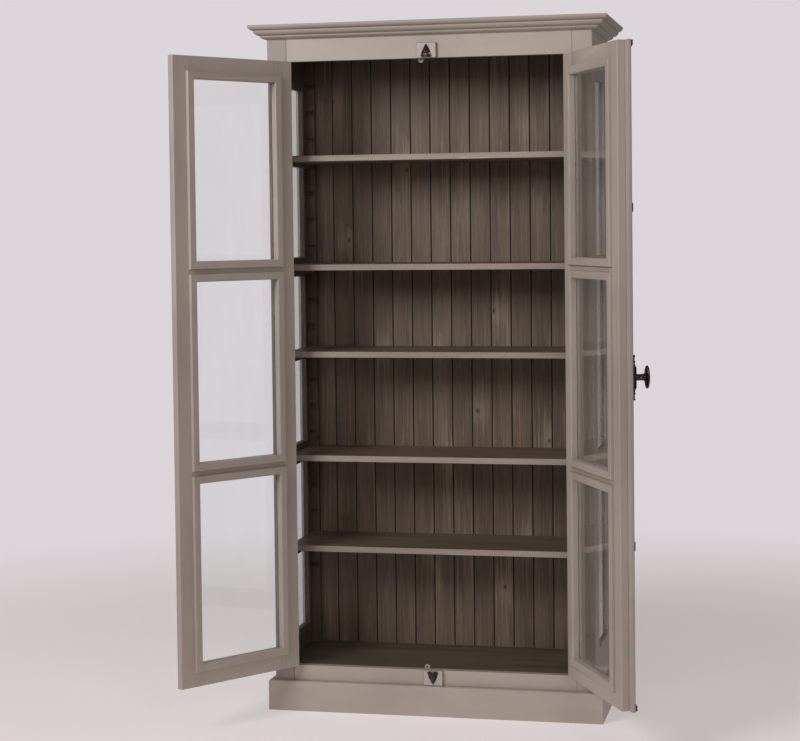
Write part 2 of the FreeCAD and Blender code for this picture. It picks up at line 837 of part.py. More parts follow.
def bolt_rod(sign, end_z):
    """Rod, foot and rack of one half of the bolt: sign 1 is the upper one."""
    foot_z = knob_height + sign * (bar_reach + bar_foot_gap)
    xs = sorted((-sign * rod_radius, sign * bar_back))
    zs = sorted((foot_z, foot_z + sign * bar_foot_height))
    half = gear_thickness / 2
    foot = box(xs[0], xs[1], rod_y - half, rod_y + half, zs[0], zs[1])
    up = vec(0, 0, sign)
    length = abs(end_z - foot_z) - rod_tip_length
    shaft = cylinder(rod_radius, vec(0, rod_y, foot_z), up, length)
    tip = cone(rod_radius, rod_tip_radius, vec(0, rod_y, foot_z + sign * length), up, rod_tip_length)
    return single(toothed_bar(sign).fuse(foot).fuse(shaft).fuse(tip).removeSplitter())


def rod_channel(low, high):
    """Room for a rod between two heights, open towards the astragal."""
    r = rod_radius + rod_clearance
    bore = cylinder(r, vec(0, rod_y, low), vec(0, 0, 1), high - low)
    return bore.fuse(box(-r, r, rod_y, astragal_front_y + overrun, low, high))


def pinion():
    """Involute pinion with its spindle, a gap of the pinion towards +x, one on each side."""
    n = pinion_teeth
    r = pinion_pitch_radius
    base = r * math.cos(math.radians(pressure_angle))
    outer = r + pinion_addendum
    root = r - rack_addendum - tooth_root_clearance
    inv = math.tan(math.radians(pressure_angle)) - math.radians(pressure_angle)
    half_angle = (math.pi * r / n - tooth_backlash) / (2 * r) + inv
    steps = 4
    flank = []
    for i in range(steps + 1):
        radius = base + (outer - base) * i / steps
        a = math.acos(base / radius)
        flank.append((radius, half_angle - (math.tan(a) - a)))
    points = []
    for tooth in range(n):
        centre = 2 * math.pi * (tooth + 0.5) / n
        start = [(root, half_angle)] + flank
        polar = [(radius, centre - angle) for radius, angle in start]
        polar += [(radius, centre + angle) for radius, angle in reversed(start)]
        points += [(radius * math.cos(angle), radius * math.sin(angle)) for radius, angle in polar]
    y0 = rod_y - gear_thickness / 2
    wheel = prism([vec(x, y0, knob_height + z) for x, z in points], vec(0, gear_thickness, 0))
    back = astragal_front_y - spindle_back_gap
    front = astragal_front_y - case_middle_depth - knob_gap - spindle_in_knob
    spindle = cylinder(spindle_radius, vec(0, back, knob_height), vec(0, -1, 0), back - front)
    return single(wheel.fuse(spindle).removeSplitter())


def case_outline(width, height, depth):
    """Rounded block of the case on the astragal's face, its middle at the knob."""
    half = width / 2
    low, high = knob_height - height / 2, knob_height + height / 2
    block = box(-half, half, astragal_front_y - depth, astragal_front_y, low, high)
    corners = [e for e in block.Edges
               if abs(e.Vertexes[0].Point.y - e.Vertexes[1].Point.y) > case_wall]
    return block.makeFillet(min(case_round, half / 2), corners)


def bolt_case():
    middle = case_outline(case_middle_width, case_middle_height, case_middle_depth)
    ends = case_outline(case_end_width, case_length, case_end_depth)
    case = middle.fuse(ends)
    hollow_x = bar_back + cavity_clearance
    hollow_z = case_length / 2 - case_wall
    hollow_front = rod_y - rod_radius - cavity_clearance
    case = case.cut(box(-hollow_x, hollow_x, hollow_front, astragal_front_y + overrun,
                        knob_height - hollow_z, knob_height + hollow_z))
    middle_back = vec(0, astragal_front_y, knob_height)
    hole = cylinder(spindle_radius + spindle_clearance, middle_back, vec(0, -1, 0),
                    case_middle_depth + overrun)
    passage = rod_channel(knob_height - case_length, knob_height + case_length)
    return single(case.cut(hole).cut(passage).removeSplitter())


def bolt_knob():
    """Waisted neck and oval grip, bored for the spindle."""
    start = astragal_front_y - case_middle_depth - knob_gap
    half = neck_length / 2
    out = vec(0, -1, 0)
    lower = cone(neck_radius, neck_waist_radius, vec(0, start, knob_height), out, half)
    upper = cone(neck_waist_radius, neck_radius, vec(0, start - half, knob_height), out, half)
    ball = Part.makeSphere(oval_thickness / 2)
    scale = FreeCAD.Matrix()
    scale.scale(oval_width / oval_thickness, 1, oval_height / oval_thickness)
    grip = ball.transformGeometry(scale)
    grip.translate(vec(0, start - neck_length - oval_thickness / 2 + grip_sink, knob_height))
    knob = lower.fuse(upper).fuse(grip)
    bore = cylinder(spindle_radius, vec(0, start + overrun, knob_height), out, spindle_in_knob + overrun)
    return single(knob.cut(bore).removeSplitter())


def rod_guide(z):
    """Saddle that holds a rod to the astragal."""
    low, high = z - guide_height / 2, z + guide_height / 2
    outer = rod_radius + guide_wall
    arch = cylinder(outer, vec(0, rod_y, low), vec(0, 0, 1), guide_height)
    legs = box(-outer, outer, rod_y, astragal_front_y, low, high)
    half = guide_flange_width / 2
    flange = box(-half, half, astragal_front_y - guide_flange_thickness, astragal_front_y, low, high)
    guide = arch.fuse(legs).fuse(flange).cut(rod_channel(low - overrun, high + overrun))
    behind = box(-half, half, astragal_front_y, rod_y + outer + overrun, low, high)
    return single(guide.cut(behind).removeSplitter())


def pointed_hood(sign, mouth_z, height):
    """Hood that tapers away from its mouth on a leaf-shaped plate with two lobes; sign 1 points upwards."""
    up = vec(0, 0, sign)
    out = vec(0, -1, 0)
    front = astragal_front_y
    end_z = mouth_z + sign * height
    hood = cone(keeper_mouth_radius, keeper_end_radius, vec(0, rod_y, mouth_z), up, height)
    half = keeper_width / 2
    edge = [(half * wide, mouth_z + sign * height * share) for share, wide in keeper_plate_shares]
    plate = [vec(x, front, z) for x, z in edge] + [vec(-x, front, z) for x, z in reversed(edge)]
    body = hood.fuse(prism(plate, out * keeper_flange_thickness))
    lobe_x, lobe_z = half - keeper_lobe_radius, mouth_z + sign * keeper_lobe_radius
    for x in (-lobe_x, lobe_x):
        body = body.fuse(cylinder(keeper_lobe_radius, vec(x, front, lobe_z), out, keeper_lobe_thickness))
    web = [vec(-keeper_mouth_radius, rod_y, mouth_z), vec(keeper_mouth_radius, rod_y, mouth_z),
           vec(keeper_end_radius, rod_y, end_z), vec(-keeper_end_radius, rod_y, end_z)]
    body = body.fuse(prism(web, vec(0, front - rod_y, 0)))
    zs = sorted((mouth_z - sign * overrun, end_z + sign * overrun))
    return body.cut(box(-half, half, front, front + keeper_mouth_radius, zs[0], zs[1]))


def keeper(sign, mouth_z):
    """Hood with a tapered bore that the rod's end runs into; sign 1 opens downwards."""
    bore = cone(keeper_bore_mouth_radius, keeper_bore_end_radius, vec(0, rod_y, mouth_z),
                vec(0, 0, sign), keeper_bore_depth)
    return single(pointed_hood(sign, mouth_z, keeper_height).cut(bore).removeSplitter())


def end_guide(sign, mouth_z):
    """Hood at the door's edge that the rod runs right through; sign 1 opens downwards."""
    reach = end_guide_height + overrun
    channel = rod_channel(mouth_z - reach, mouth_z + reach)
    return single(pointed_hood(sign, mouth_z, end_guide_height).cut(channel).removeSplitter())


def make_bolt():
    write_open("bolt_case", bolt_case(), opened_right)
    guides = [rod_guide(knob_height - guide_offset), rod_guide(knob_height + guide_offset)]
    write_open("bolt_guides", guides, opened_right)
    write_open("bolt_end_guides", [end_guide(-1, door_top), end_guide(1, door_bottom)], opened_right)
    write_open("bolt_knob", bolt_knob(), opened_right)
    write_open("bolt_pinion", pinion(), opened_right)
    write_open("bolt_rod_upper", bolt_rod(1, door_top), opened_right)
    write_open("bolt_rod_lower", bolt_rod(-1, door_bottom - lower_rod_reach), opened_right)


# Keepers on their pads, and door stops

def make_keepers():
    half = pad_width / 2
    c = pad_chamfer
    front = astragal_front_y
    plan = [(-half + c, front), (half - c, front), (half, front + c), (half, face_y), (-half, face_y),
            (-half, front + c)]
    pads = [plan_prism(plan, opening_top, opening_top + pad_height),
            plan_prism(plan, opening_bottom - pad_height, opening_bottom)]
    write("keeper_pads", pads)
    upper = keeper(1, opening_top + keeper_mouth_gap)
    lower = keeper(-1, opening_bottom - keeper_mouth_gap)
    write("bolt_keepers", [upper, lower])


def door_stop(sign, edge_z):
    """Disc behind a rail with a fixing tab; sign 1 hangs it from the rail above."""
    middle = vec(-stop_offset, frame_back_y, edge_z - sign * stop_reach)
    disc = cylinder(stop_radius, middle, vec(0, 1, 0), stop_thickness)
    half = stop_tab_width / 2
    zs = sorted((middle.z, edge_z + sign * stop_tab_length))
    tab = box(-stop_offset - half, -stop_offset + half, frame_back_y, frame_back_y + stop_tab_thickness,
              zs[0], zs[1])
    return single(disc.fuse(tab).removeSplitter())


def make_stops():
    write("door_stops", [door_stop(1, opening_top), door_stop(-1, opening_bottom)])


make_plinth()
make_boards()
make_face_frame()
make_sides()
make_back()
make_cornice()
make_racks()
make_cleats()
make_shelves()
make_doors()
make_astragal()
make_bolt()
make_keepers()
make_stops()
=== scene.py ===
import math

import bmesh
import bpy
from mathutils import Matrix, Vector


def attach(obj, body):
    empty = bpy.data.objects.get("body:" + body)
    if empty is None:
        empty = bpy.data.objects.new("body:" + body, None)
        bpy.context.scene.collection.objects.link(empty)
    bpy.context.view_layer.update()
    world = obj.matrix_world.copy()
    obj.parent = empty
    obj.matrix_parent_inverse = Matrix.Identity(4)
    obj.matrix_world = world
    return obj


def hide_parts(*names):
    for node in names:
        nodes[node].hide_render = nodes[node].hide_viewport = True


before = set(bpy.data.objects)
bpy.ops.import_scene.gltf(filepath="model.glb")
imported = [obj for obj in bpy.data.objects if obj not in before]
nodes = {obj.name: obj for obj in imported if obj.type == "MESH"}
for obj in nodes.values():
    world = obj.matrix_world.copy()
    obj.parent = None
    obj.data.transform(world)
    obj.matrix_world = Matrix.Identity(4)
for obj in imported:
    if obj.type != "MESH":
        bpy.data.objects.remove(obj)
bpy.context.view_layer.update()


# Camera, fitted to the edges of the cabinet in the photograph

camera_place = Vector((1.1572, -5.5281, 1.4200))
camera_yaw = 0.21533
camera_pitch = -0.03850
camera_roll = -0.01113
camera_sensor, camera_lens = 36.0, 86.03
camera_shift = (-0.03069, -0.09077)
camera_reach = 60.0


def set_camera():
    data = bpy.data.cameras.new("camera")
    data.sensor_width = camera_sensor
    data.lens = camera_lens
    data.shift_x, data.shift_y = camera_shift
    data.clip_end = camera_reach
    eye = bpy.data.objects.new("camera", data)
    ahead = Vector((-math.sin(camera_yaw) * math.cos(camera_pitch),
                    math.cos(camera_yaw) * math.cos(camera_pitch), math.sin(camera_pitch)))
    level = ahead.cross(Vector((0, 0, 1))).normalized()
    over = level.cross(ahead)
    right = level * math.cos(camera_roll) + over * math.sin(camera_roll)
    up = over * math.cos(camera_roll) - level * math.sin(camera_roll)
    turn = Matrix((right, up, -ahead)).transposed().to_4x4()
    eye.matrix_world = Matrix.Translation(camera_place) @ turn
    bpy.context.collection.objects.link(eye)
    bpy.context.scene.camera = eye


# Studio: pale floor, pale surround and large soft lights

light_size = 1.6
light_spread = math.radians(130)
window_place, window_aim = (-2.05, -3.7, 3.0), (0, 0, 2.0)
window_power, window_tint = 62, (0.99, 0.99, 1.0)
fill_place, fill_aim = (2.4, -4.2, 2.6), (0, 0, 1.8)
fill_power, fill_tint = 17, (1.0, 0.98, 0.97)
seen_tone = (0.708, 0.665, 0.694, 1)
gathered_tone = (0.73, 0.665, 0.61, 1)
gathered_strength = 0.28
mirrored_share = 0.9
floor_size = 24
floor_cuts = 5
floor_glow = 0.46
floor_glow_tone = (0.70, 0.66, 0.67, 1)
floor_fade = (1.3, 3.6)


def soft_light(name, place, aim, power, tint):
    data = bpy.data.lights.new(name, "AREA")
    data.spread = light_spread
    data.size = light_size
    data.energy = power
    data.color = tint
    lamp = bpy.data.objects.new(name, data)
    lamp.location = place
    lamp.rotation_euler = (Vector(aim) - Vector(place)).to_track_quat("-Z", "Y").to_euler()
    bpy.context.collection.objects.link(lamp)


def pale_surround():
    """Even pale surround. The eye sees it in full, straight on and through glass; matt surfaces
    gather a dimmer and warmer one, and so do nearly all reflections."""
    world = bpy.data.worlds.new("pale surround")
    bpy.context.scene.world = world
    world.use_nodes = True
    sheet = Sheet(world.node_tree)
    seen = world.node_tree.nodes["Background"]
    seen.inputs["Color"].default_value = seen_tone
    gathered = sheet.node("ShaderNodeBackground")
    gathered.inputs["Color"].default_value = gathered_tone
    gathered.inputs["Strength"].default_value = gathered_strength
    mixed = sheet.node("ShaderNodeMixShader")
    path = sheet.node("ShaderNodeLightPath").outputs
    direct = sheet.maths("SUBTRACT", 1.0, path["Is Transmission Ray"])
    mirrored = sheet.times(path["Is Glossy Ray"], direct)
    sheet.put(mixed.inputs[0], sheet.times_plus(mirrored, mirrored_share, path["Is Diffuse Ray"]))
    sheet.put(mixed.inputs[1], seen.outputs[0])
    sheet.put(mixed.inputs[2], gathered.outputs[0])
    sheet.put(world.node_tree.nodes["World Output"].inputs["Surface"], mixed.outputs[0])


def studio():
    bpy.context.scene.view_settings.view_transform = "Standard"
    pale_surround()
    soft_light("window", window_place, window_aim, window_power, window_tint)
    soft_light("fill", fill_place, fill_aim, fill_power, fill_tint)
    select_none()
    bpy.ops.mesh.primitive_plane_add(size=floor_size, location=(0, 0, 0))
    floor = bpy.context.object
    floor.name = "pale_floor"
    bpy.ops.object.mode_set(mode="EDIT")
    bpy.ops.mesh.subdivide(number_cuts=floor_cuts)
    bpy.ops.object.mode_set(mode="OBJECT")
    floor.data.materials.append(floor_finish())


def select_none():
    if bpy.context.object and bpy.context.object.mode != "OBJECT":
        bpy.ops.object.mode_set(mode="OBJECT")
    bpy.ops.object.select_all(action="DESELECT")


# Shader building

class Sheet:
    """One node tree that a finish is laid out in."""

    def __init__(self, tree):
        self.tree = tree

    def node(self, kind, **values):
        made = self.tree.nodes.new(kind)
        for name, value in values.items():
            setattr(made, name, value)
        return made

    def put(self, socket, value):
        if isinstance(value, bpy.types.NodeSocket):
            self.tree.links.new(value, socket)
        else:
            socket.default_value = value

    def place(self):
        return self.node("ShaderNodeTexCoord").outputs["Object"]

    def laid(self, order, turn=0.0):
        """Object place with the piece's length first, its width next and its thickness last;
        turn swings a door's own length back to x first."""
        place = self.place()
        if turn:
            place = self.mapped(place, turn=(0, 0, turn))
        three = self.parts(place)
        return self.join(*[three["xyz".index(axis)] for axis in order])

    def mapped(self, vector, scale=(1, 1, 1), turn=(0, 0, 0)):
        made = self.node("ShaderNodeMapping")
        self.put(made.inputs["Vector"], vector)
        self.put(made.inputs["Scale"], scale)
        self.put(made.inputs["Rotation"], turn)
        return made.outputs["Vector"]

    def noise(self, vector, scale, detail=3.0, rough=0.55, warp=0.0):
        made = self.node("ShaderNodeTexNoise")
        self.put(made.inputs["Vector"], vector)
        self.put(made.inputs["Scale"], scale)
        self.put(made.inputs["Detail"], detail)
        self.put(made.inputs["Roughness"], rough)
        self.put(made.inputs["Distortion"], warp)
        return made.outputs["Fac"]

    def maths(self, operation, *values):
        made = self.node("ShaderNodeMath", operation=operation)
        for socket, value in zip(made.inputs, values):
            self.put(socket, value)
        return made.outputs[0]

    def times(self, a, b):
        return self.maths("MULTIPLY", a, b)

    def times_plus(self, a, b, c):
        return self.maths("MULTIPLY_ADD", a, b, c)

    def length(self, a, b):
        return self.maths("SQRT", self.maths("ADD", self.times(a, a), self.times(b, b)))

    def ramp(self, value, low, high, to_low=0.0, to_high=1.0):
        made = self.node("ShaderNodeMapRange", interpolation_type="SMOOTHSTEP")
        self.put(made.inputs["Value"], value)
        self.put(made.inputs["From Min"], low)
        self.put(made.inputs["From Max"], high)
        self.put(made.inputs["To Min"], to_low)
        self.put(made.inputs["To Max"], to_high)
        return made.outputs["Result"]

    def blend(self, share, first, second):
        """Colour between two. The mix node keeps its colours behind its share, numbers, vectors."""
        made = self.node("ShaderNodeMix", data_type="RGBA")
        self.put(made.inputs[0], share)
        self.put(made.inputs[6], first)
        self.put(made.inputs[7], second)
        return made.outputs[2]

    def clouded(self, cloud, tones):
        """First tone where the cloud is thin, second where it is thick."""
        return self.blend(self.ramp(cloud, 0.3, 0.8), *tones)

    def parts(self, vector):
        made = self.node("ShaderNodeSeparateXYZ")
        self.put(made.inputs[0], vector)
        return made.outputs[0], made.outputs[1], made.outputs[2]

    def join(self, x, y, z):
        made = self.node("ShaderNodeCombineXYZ")
        for socket, value in zip(made.inputs, (x, y, z)):
            self.put(socket, value)
        return made.outputs[0]

    def bump(self, height, strength, reach):
        made = self.node("ShaderNodeBump")
        self.put(made.inputs["Height"], height)
        self.put(made.inputs["Strength"], strength)
        self.put(made.inputs["Distance"], reach)
        return made.outputs["Normal"]

    def shared(self, group, **values):
        made = self.node("ShaderNodeGroup")
        made.node_tree = group
        for name, value in values.items():
            self.put(made.inputs[name], value)
        return made.outputs


def effect(name, inputs, outputs):
    """Empty node group with its sockets, for an effect that several finishes use."""
    group = bpy.data.node_groups.new(name, "ShaderNodeTree")
    new_socket = group.interface.new_socket
    for label, kind, value in inputs:
        socket = new_socket(name=label, in_out="INPUT", socket_type="NodeSocket" + kind)
        socket.default_value = value
    for label in outputs:
        new_socket(name=label, in_out="OUTPUT", socket_type="NodeSocketFloat")
    sheet = Sheet(group)
    source = group.nodes.new("NodeGroupInput").outputs
    result = group.nodes.new("NodeGroupOutput").inputs
    return group, sheet, source, result


def finish_of(name):
    """New material and its Principled shader."""
    made = bpy.data.materials.new(name)
    made.use_nodes = True
    return made, Sheet(made.node_tree), made.node_tree.nodes["Principled BSDF"]


def srgb(red, green, blue):
    """Colour on the 0 to 255 scale as the shader's own numbers."""
    def plain(value):
        share = value / 255
        return share / 12.92 if share <= 0.04045 else ((share + 0.055) / 1.055) ** 2.4
    return (plain(red), plain(green), plain(blue), 1.0)


# Effects that several finishes share

# Brush marks per metre along, across and through a piece
brush_fine, brush_coarse, brush_cloud = (14, 260, 260), (5, 70, 70), (2.5, 6, 6)
# Cells per metre along and across a plank, and the chance above which one holds a knot
knot_cell, knot_floor = (2.4, 8.0), 0.62
knot_squash, knot_uneven, knot_edge = 0.7, 0.012, (0.001, 0.008)
# How the lines swell round a knot, their number per metre across and through, and their wander
knot_swell, line_bend = 1100.0, 2.2
lines_across, lines_through, line_wander = 70.0, 40.0, 11.0


def brush_marks():
    """Fine ridges left by a brush along x, and the cloudy tone of hand-laid paint."""
    group, sheet, source, result = effect(
        "brush marks", [("Place", "Vector", (0, 0, 0))], ["Ridges", "Cloud"])
    ridges = sheet.noise(sheet.mapped(source["Place"], scale=brush_fine), 1.0, 4, 0.6, 0.3)
    coarse = sheet.noise(sheet.mapped(source["Place"], scale=brush_coarse), 1.0, 3, 0.5)
    both = sheet.maths("ADD", sheet.times(ridges, 0.6), sheet.times(coarse, 0.4))
    sheet.put(result["Ridges"], both)
    cloud = sheet.noise(sheet.mapped(source["Place"], scale=brush_cloud), 1.0, 4, 0.6, 0.4)
    sheet.put(result["Cloud"], cloud)
    return group


def plank_grain():
    """Figure of stained pine whose length runs along x and whose face lies across y: broad streaks,
    fine pale lines in the pores, growth lines, and here and there a small knot they bend round."""
    group, sheet, source, result = effect(
        "plank grain",
        [("Place", "Vector", (0, 0, 0)), ("Seed", "Float", 0.0), ("Knots", "Float", 1.0)],
        ["Lines", "Pores", "Streaks", "Knot", "Cloud"])
    along, across, deep = sheet.parts(source["Place"])
    seed = source["Seed"]
    # A knot sits in a few of the cells, and the lines swell round it
    spread = sheet.join(sheet.times_plus(along, knot_cell[0], seed),
                        sheet.times_plus(across, knot_cell[1], seed), 0)
    cell = sheet.node("ShaderNodeTexVoronoi", voronoi_dimensions="2D", feature="F1")
    sheet.put(cell.inputs["Vector"], spread)
    sheet.put(cell.inputs["Scale"], 1.0)
    present = sheet.maths("GREATER_THAN", sheet.parts(cell.outputs["Color"])[0], knot_floor)
    present = sheet.times(present, source["Knots"])
    offset = sheet.node("ShaderNodeVectorMath", operation="SUBTRACT")
    sheet.put(offset.inputs[0], spread)
    sheet.put(offset.inputs[1], cell.outputs["Position"])
    gap_along, gap_across, _ = sheet.parts(sheet.mapped(
        offset.outputs[0], scale=(knot_squash / knot_cell[0], 1.0 / knot_cell[1], 1)))
    reach = sheet.length(gap_along, gap_across)
    uneven = sheet.maths("SUBTRACT", sheet.noise(source["Place"], 70, 2), 0.5)
    reach = sheet.times_plus(uneven, knot_uneven, reach)
    sheet.put(result["Knot"], sheet.times(sheet.ramp(reach, *knot_edge, 1.0, 0.0), present))
    swell = sheet.maths("DIVIDE", present,
                        sheet.times_plus(sheet.times(reach, reach), knot_swell, 1.0))
    # Growth lines: a slow wander along the plank gives the long arches
    slow = sheet.noise(sheet.join(sheet.times_plus(along, 1.3, seed),
                                  sheet.times_plus(across, 5.0, seed), 0), 1.0, 2, 0.5)
    phase = sheet.times_plus(across, lines_across, sheet.times(slow, line_wander))
    phase = sheet.times_plus(deep, lines_through, phase)
    wave = sheet.maths("FRACT", sheet.times_plus(swell, line_bend, phase))
    rise, fall = sheet.ramp(wave, 0.2, 0.9), sheet.ramp(wave, 0.9, 1.0, 1.0, 0.0)
    sheet.put(result["Lines"], sheet.times(rise, fall))

    def drawn(per_along, per_across, detail, rough):
        """Noise drawn out along the plank, different on each board."""
        return sheet.noise(sheet.join(sheet.times_plus(along, per_along, seed),
                                      sheet.times_plus(across, per_across, seed),
                                      sheet.times(deep, per_across)), 1.0, detail, rough)

    sheet.put(result["Pores"], drawn(20.0, 900.0, 3, 0.65))
    bent = sheet.times_plus(swell, 0.35, drawn(4.5, 230.0, 4, 0.6))
    sheet.put(result["Streaks"], bent)
    sheet.put(result["Cloud"], drawn(2.2, 26.0, 4, 0.6))
    return group


# Finishes

taupe = srgb(170, 158, 149)
stile_tone = srgb(150, 138, 131)
pad_tone = srgb(180, 168, 161)
# Heights of the dark lines of painted shade along the pads' joints, and the tone and share of that
# painted shade
pad_shade_rims = ((1.9366, 1.9390), (0.0885, 0.0900))
joint_shade_tone, joint_shade_share = srgb(98, 86, 78), 0.75
joint_tone = srgb(20, 14, 11)
pale_streak_tone = srgb(214, 190, 158)
# Stains: deep, middle, pale and knot tone
pine_tones = (srgb(86, 69, 56), srgb(118, 100, 84), srgb(168, 149, 128), srgb(52, 40, 31))
inner_tones = (srgb(69, 55, 44), srgb(97, 81, 67), srgb(136, 119, 101), srgb(43, 32, 25))
shelf_tones = (srgb(84, 69, 56), srgb(118, 101, 85), srgb(158, 143, 125), srgb(52, 41, 33))
floor_board_tones = (srgb(76, 62, 50), srgb(108, 92, 77), srgb(150, 135, 117), srgb(46, 35, 28))
edge_tones, edge_wear = (srgb(138, 123, 113), srgb(160, 145, 135)), srgb(112, 97, 87)
glass_tones = (srgb(250, 252, 251), srgb(244, 248, 247))
iron_tones = (srgb(13, 9, 9), srgb(24, 18, 17))
iron_worn, iron_glint = srgb(58, 52, 48), srgb(255, 226, 222)
steel_tones = (srgb(188, 186, 182), srgb(156, 152, 146))
plastic_tones = (srgb(170, 169, 158), srgb(146, 144, 132))
floor_tones = (srgb(226, 219, 219), srgb(231, 225, 225))
# Where a finish changes, in metres
inner_face_limit = 0.4665
shelf_edge_fade = (-0.1045, -0.1037)
top_shelf_floor = 1.55
streak_fade = (0.0, 0.12)
# Widths of the dark joint between back boards and of the pale rim beside it, partly worn arris and
# partly painted highlight
joint_groove, joint_wear_and_highlight = (0.0014, 0.0030), (0.0030, 0.0045)
# Scatters the numbers 0, 1, 2... of the boards over 0 to 1
chance_step, chance_stretch = 12.9898, 43758.5
seed_reach = 40.0
# Shares of a paint's tone where it is light and dark, and the run of the pale streaks on the shelf
# edges
paint_light, paint_dark = 1.07, 0.92
streak_slant, streak_along, streak_high = -9.0, 9.0, 140.0
# Order of the axes that puts a piece's length first
upright = "zxy"
level = "xyz"
inward = "yxz"


def painted(name, tone, order, brush, turn=0.0, inside=None, rims=None):
    """Satin paint on pine, brushed along the piece, a little thin where the tone is cloudy.
    inside gives the stain of a side frame's inner face; the rims are heights where a dark line of
    painted shade lies along a joint."""
    made, sheet, shader = finish_of(name)
    place = sheet.laid(order, turn)
    marks = sheet.shared(brush, Place=place)
    light = [min(1.0, part * paint_light) for part in tone[:3]] + [1.0]
    dark = [part * paint_dark for part in tone[:3]] + [1.0]
    colour = sheet.blend(sheet.ramp(marks["Cloud"], 0.3, 0.7), dark, light)
    colour = sheet.blend(sheet.ramp(marks["Ridges"], 0.58, 0.78, 0.0, 0.3), colour, dark)
    rough = sheet.ramp(marks["Cloud"], 0.2, 0.8, 0.42, 0.54)
    if inside:
        grain, tones = inside
        stain, _ = pine_colour(sheet, place, grain, tones, 7.0, 0.3, 0.5)
        x, _, _ = sheet.parts(sheet.place())
        inner = sheet.maths("LESS_THAN", sheet.maths("ABSOLUTE", x), inner_face_limit)
        colour = sheet.blend(inner, colour, stain)
    # At each rim height, a dark line of painted shade along the joint
    for low, high in rims or ():
        _, _, height = sheet.parts(sheet.place())
        near = sheet.times(sheet.maths("GREATER_THAN", height, low),
                           sheet.maths("LESS_THAN", height, high))
        colour = sheet.blend(sheet.times(near, joint_shade_share), colour, joint_shade_tone)
    sheet.put(shader.inputs["Base Color"], colour)
    sheet.put(shader.inputs["Roughness"], rough)
    sheet.put(shader.inputs["Normal"], sheet.bump(marks["Ridges"], 0.2, 0.0003))
    shader.inputs["Specular IOR Level"].default_value = 0.4
    return made


def pine_colour(sheet, place, grain, tones, seed, knots, lime):
    """Colour of pine under a thin grey-brown stain, with pale lime left in the grain."""
    deep_tone, mid_tone, pale_tone, knot_tone = tones
    figure = sheet.shared(grain, Place=place, Seed=seed, Knots=knots)
    colour = sheet.blend(sheet.ramp(figure["Cloud"], 0.25, 0.75), deep_tone, mid_tone)
    colour = sheet.blend(sheet.times(figure["Lines"], 0.35), colour, deep_tone)
    limed = sheet.times(sheet.ramp(figure["Streaks"], 0.52, 0.80), lime)
    colour = sheet.blend(limed, colour, pale_tone)
    colour = sheet.blend(sheet.ramp(figure["Streaks"], 0.46, 0.28, 0.0, 0.45), colour, deep_tone)
    limed = sheet.times(sheet.ramp(figure["Pores"], 0.52, 0.75), lime * 0.7)
    colour = sheet.blend(limed, colour, pale_tone)
    colour = sheet.blend(sheet.times(figure["Knot"], 0.85), colour, knot_tone)
    return colour, figure


def stained(name, tones, order, grain, knots, lime, shine, boards=None):
    """Stained pine. boards gives the width and the offset of back boards, so that each has a figure
    and a tone of its own, and dirt in its joints."""
    made, sheet, shader = finish_of(name)
    place = sheet.laid(order)
    seed = 0.0
    if boards:
        width, offset = boards
        _, across, _ = sheet.parts(place)
        station = sheet.maths("DIVIDE", sheet.maths("SUBTRACT", across, offset), width)
        number = sheet.maths("FLOOR", station)
        spun = sheet.maths("SINE", sheet.times(number, chance_step))
        chance = sheet.maths("FRACT", sheet.times(spun, chance_stretch))
        seed = sheet.times(chance, seed_reach)
    colour, figure = pine_colour(sheet, place, grain, tones, seed, knots, lime)
    if boards:
        shade = sheet.ramp(chance, 0.0, 1.0, 0.0, 0.32)
        colour = sheet.blend(shade, colour, tones[0])
        share = sheet.maths("FRACT", station)
        rest = sheet.maths("SUBTRACT", 1.0, share)
        edge = sheet.times(sheet.maths("MINIMUM", share, rest), width)
        # Pale rim beside each joint: partly worn arris, partly painted highlight
        colour = sheet.blend(sheet.ramp(edge, *joint_wear_and_highlight, 0.30, 0.0), colour, tones[2])
        colour = sheet.blend(sheet.ramp(edge, *joint_groove, 0.92, 0.0), colour, joint_tone)
    sheet.put(shader.inputs["Base Color"], colour)
    rough = sheet.ramp(figure["Pores"], 0.3, 0.7, shine, shine + 0.15)
    sheet.put(shader.inputs["Roughness"], rough)
    height = sheet.times_plus(figure["Pores"], -0.6, sheet.times(figure["Lines"], 0.5))
    sheet.put(shader.inputs["Normal"], sheet.bump(height, 0.3, 0.0005))
    return made


def shelf_finish(grain):
    """Shelf: dark stain on top, taupe paint on the front edge, pale there in a few slanted streaks
    towards the top shelf's right end.
    """
    made, sheet, shader = finish_of("shelf stain and edge")
    place = sheet.laid(level)
    top, figure = pine_colour(sheet, place, grain, shelf_tones, 4.0, 0.4, 0.5)
    along, toward, high = sheet.parts(place)
    edge = sheet.blend(sheet.ramp(figure["Cloud"], 0.25, 0.75), *edge_tones)
    edge = sheet.blend(sheet.ramp(figure["Pores"], 0.5, 0.75, 0.0, 0.3), edge, edge_wear)
    slant = sheet.times_plus(high, streak_slant, along)
    streak = sheet.join(sheet.times(slant, streak_along), sheet.times(high, streak_high), high)
    # Pale slanted streaks on the top shelf's edge, towards its right end
    worn = sheet.noise(streak, 1.0, 3, 0.6, 0.4)
    right_end = sheet.ramp(along, *streak_fade)
    top_shelf = sheet.maths("GREATER_THAN", high, top_shelf_floor)
    streak_share = sheet.times(sheet.ramp(worn, 0.55, 0.66), sheet.times(right_end, top_shelf))
    edge = sheet.blend(streak_share, edge, pale_streak_tone)
    front = sheet.ramp(toward, *shelf_edge_fade, 1.0, 0.0)
    sheet.put(shader.inputs["Base Color"], sheet.blend(front, top, edge))
    sheet.put(shader.inputs["Roughness"], sheet.ramp(figure["Pores"], 0.3, 0.7, 0.42, 0.58))
    sheet.put(shader.inputs["Normal"], sheet.bump(figure["Pores"], 0.3, 0.0004))
    return made


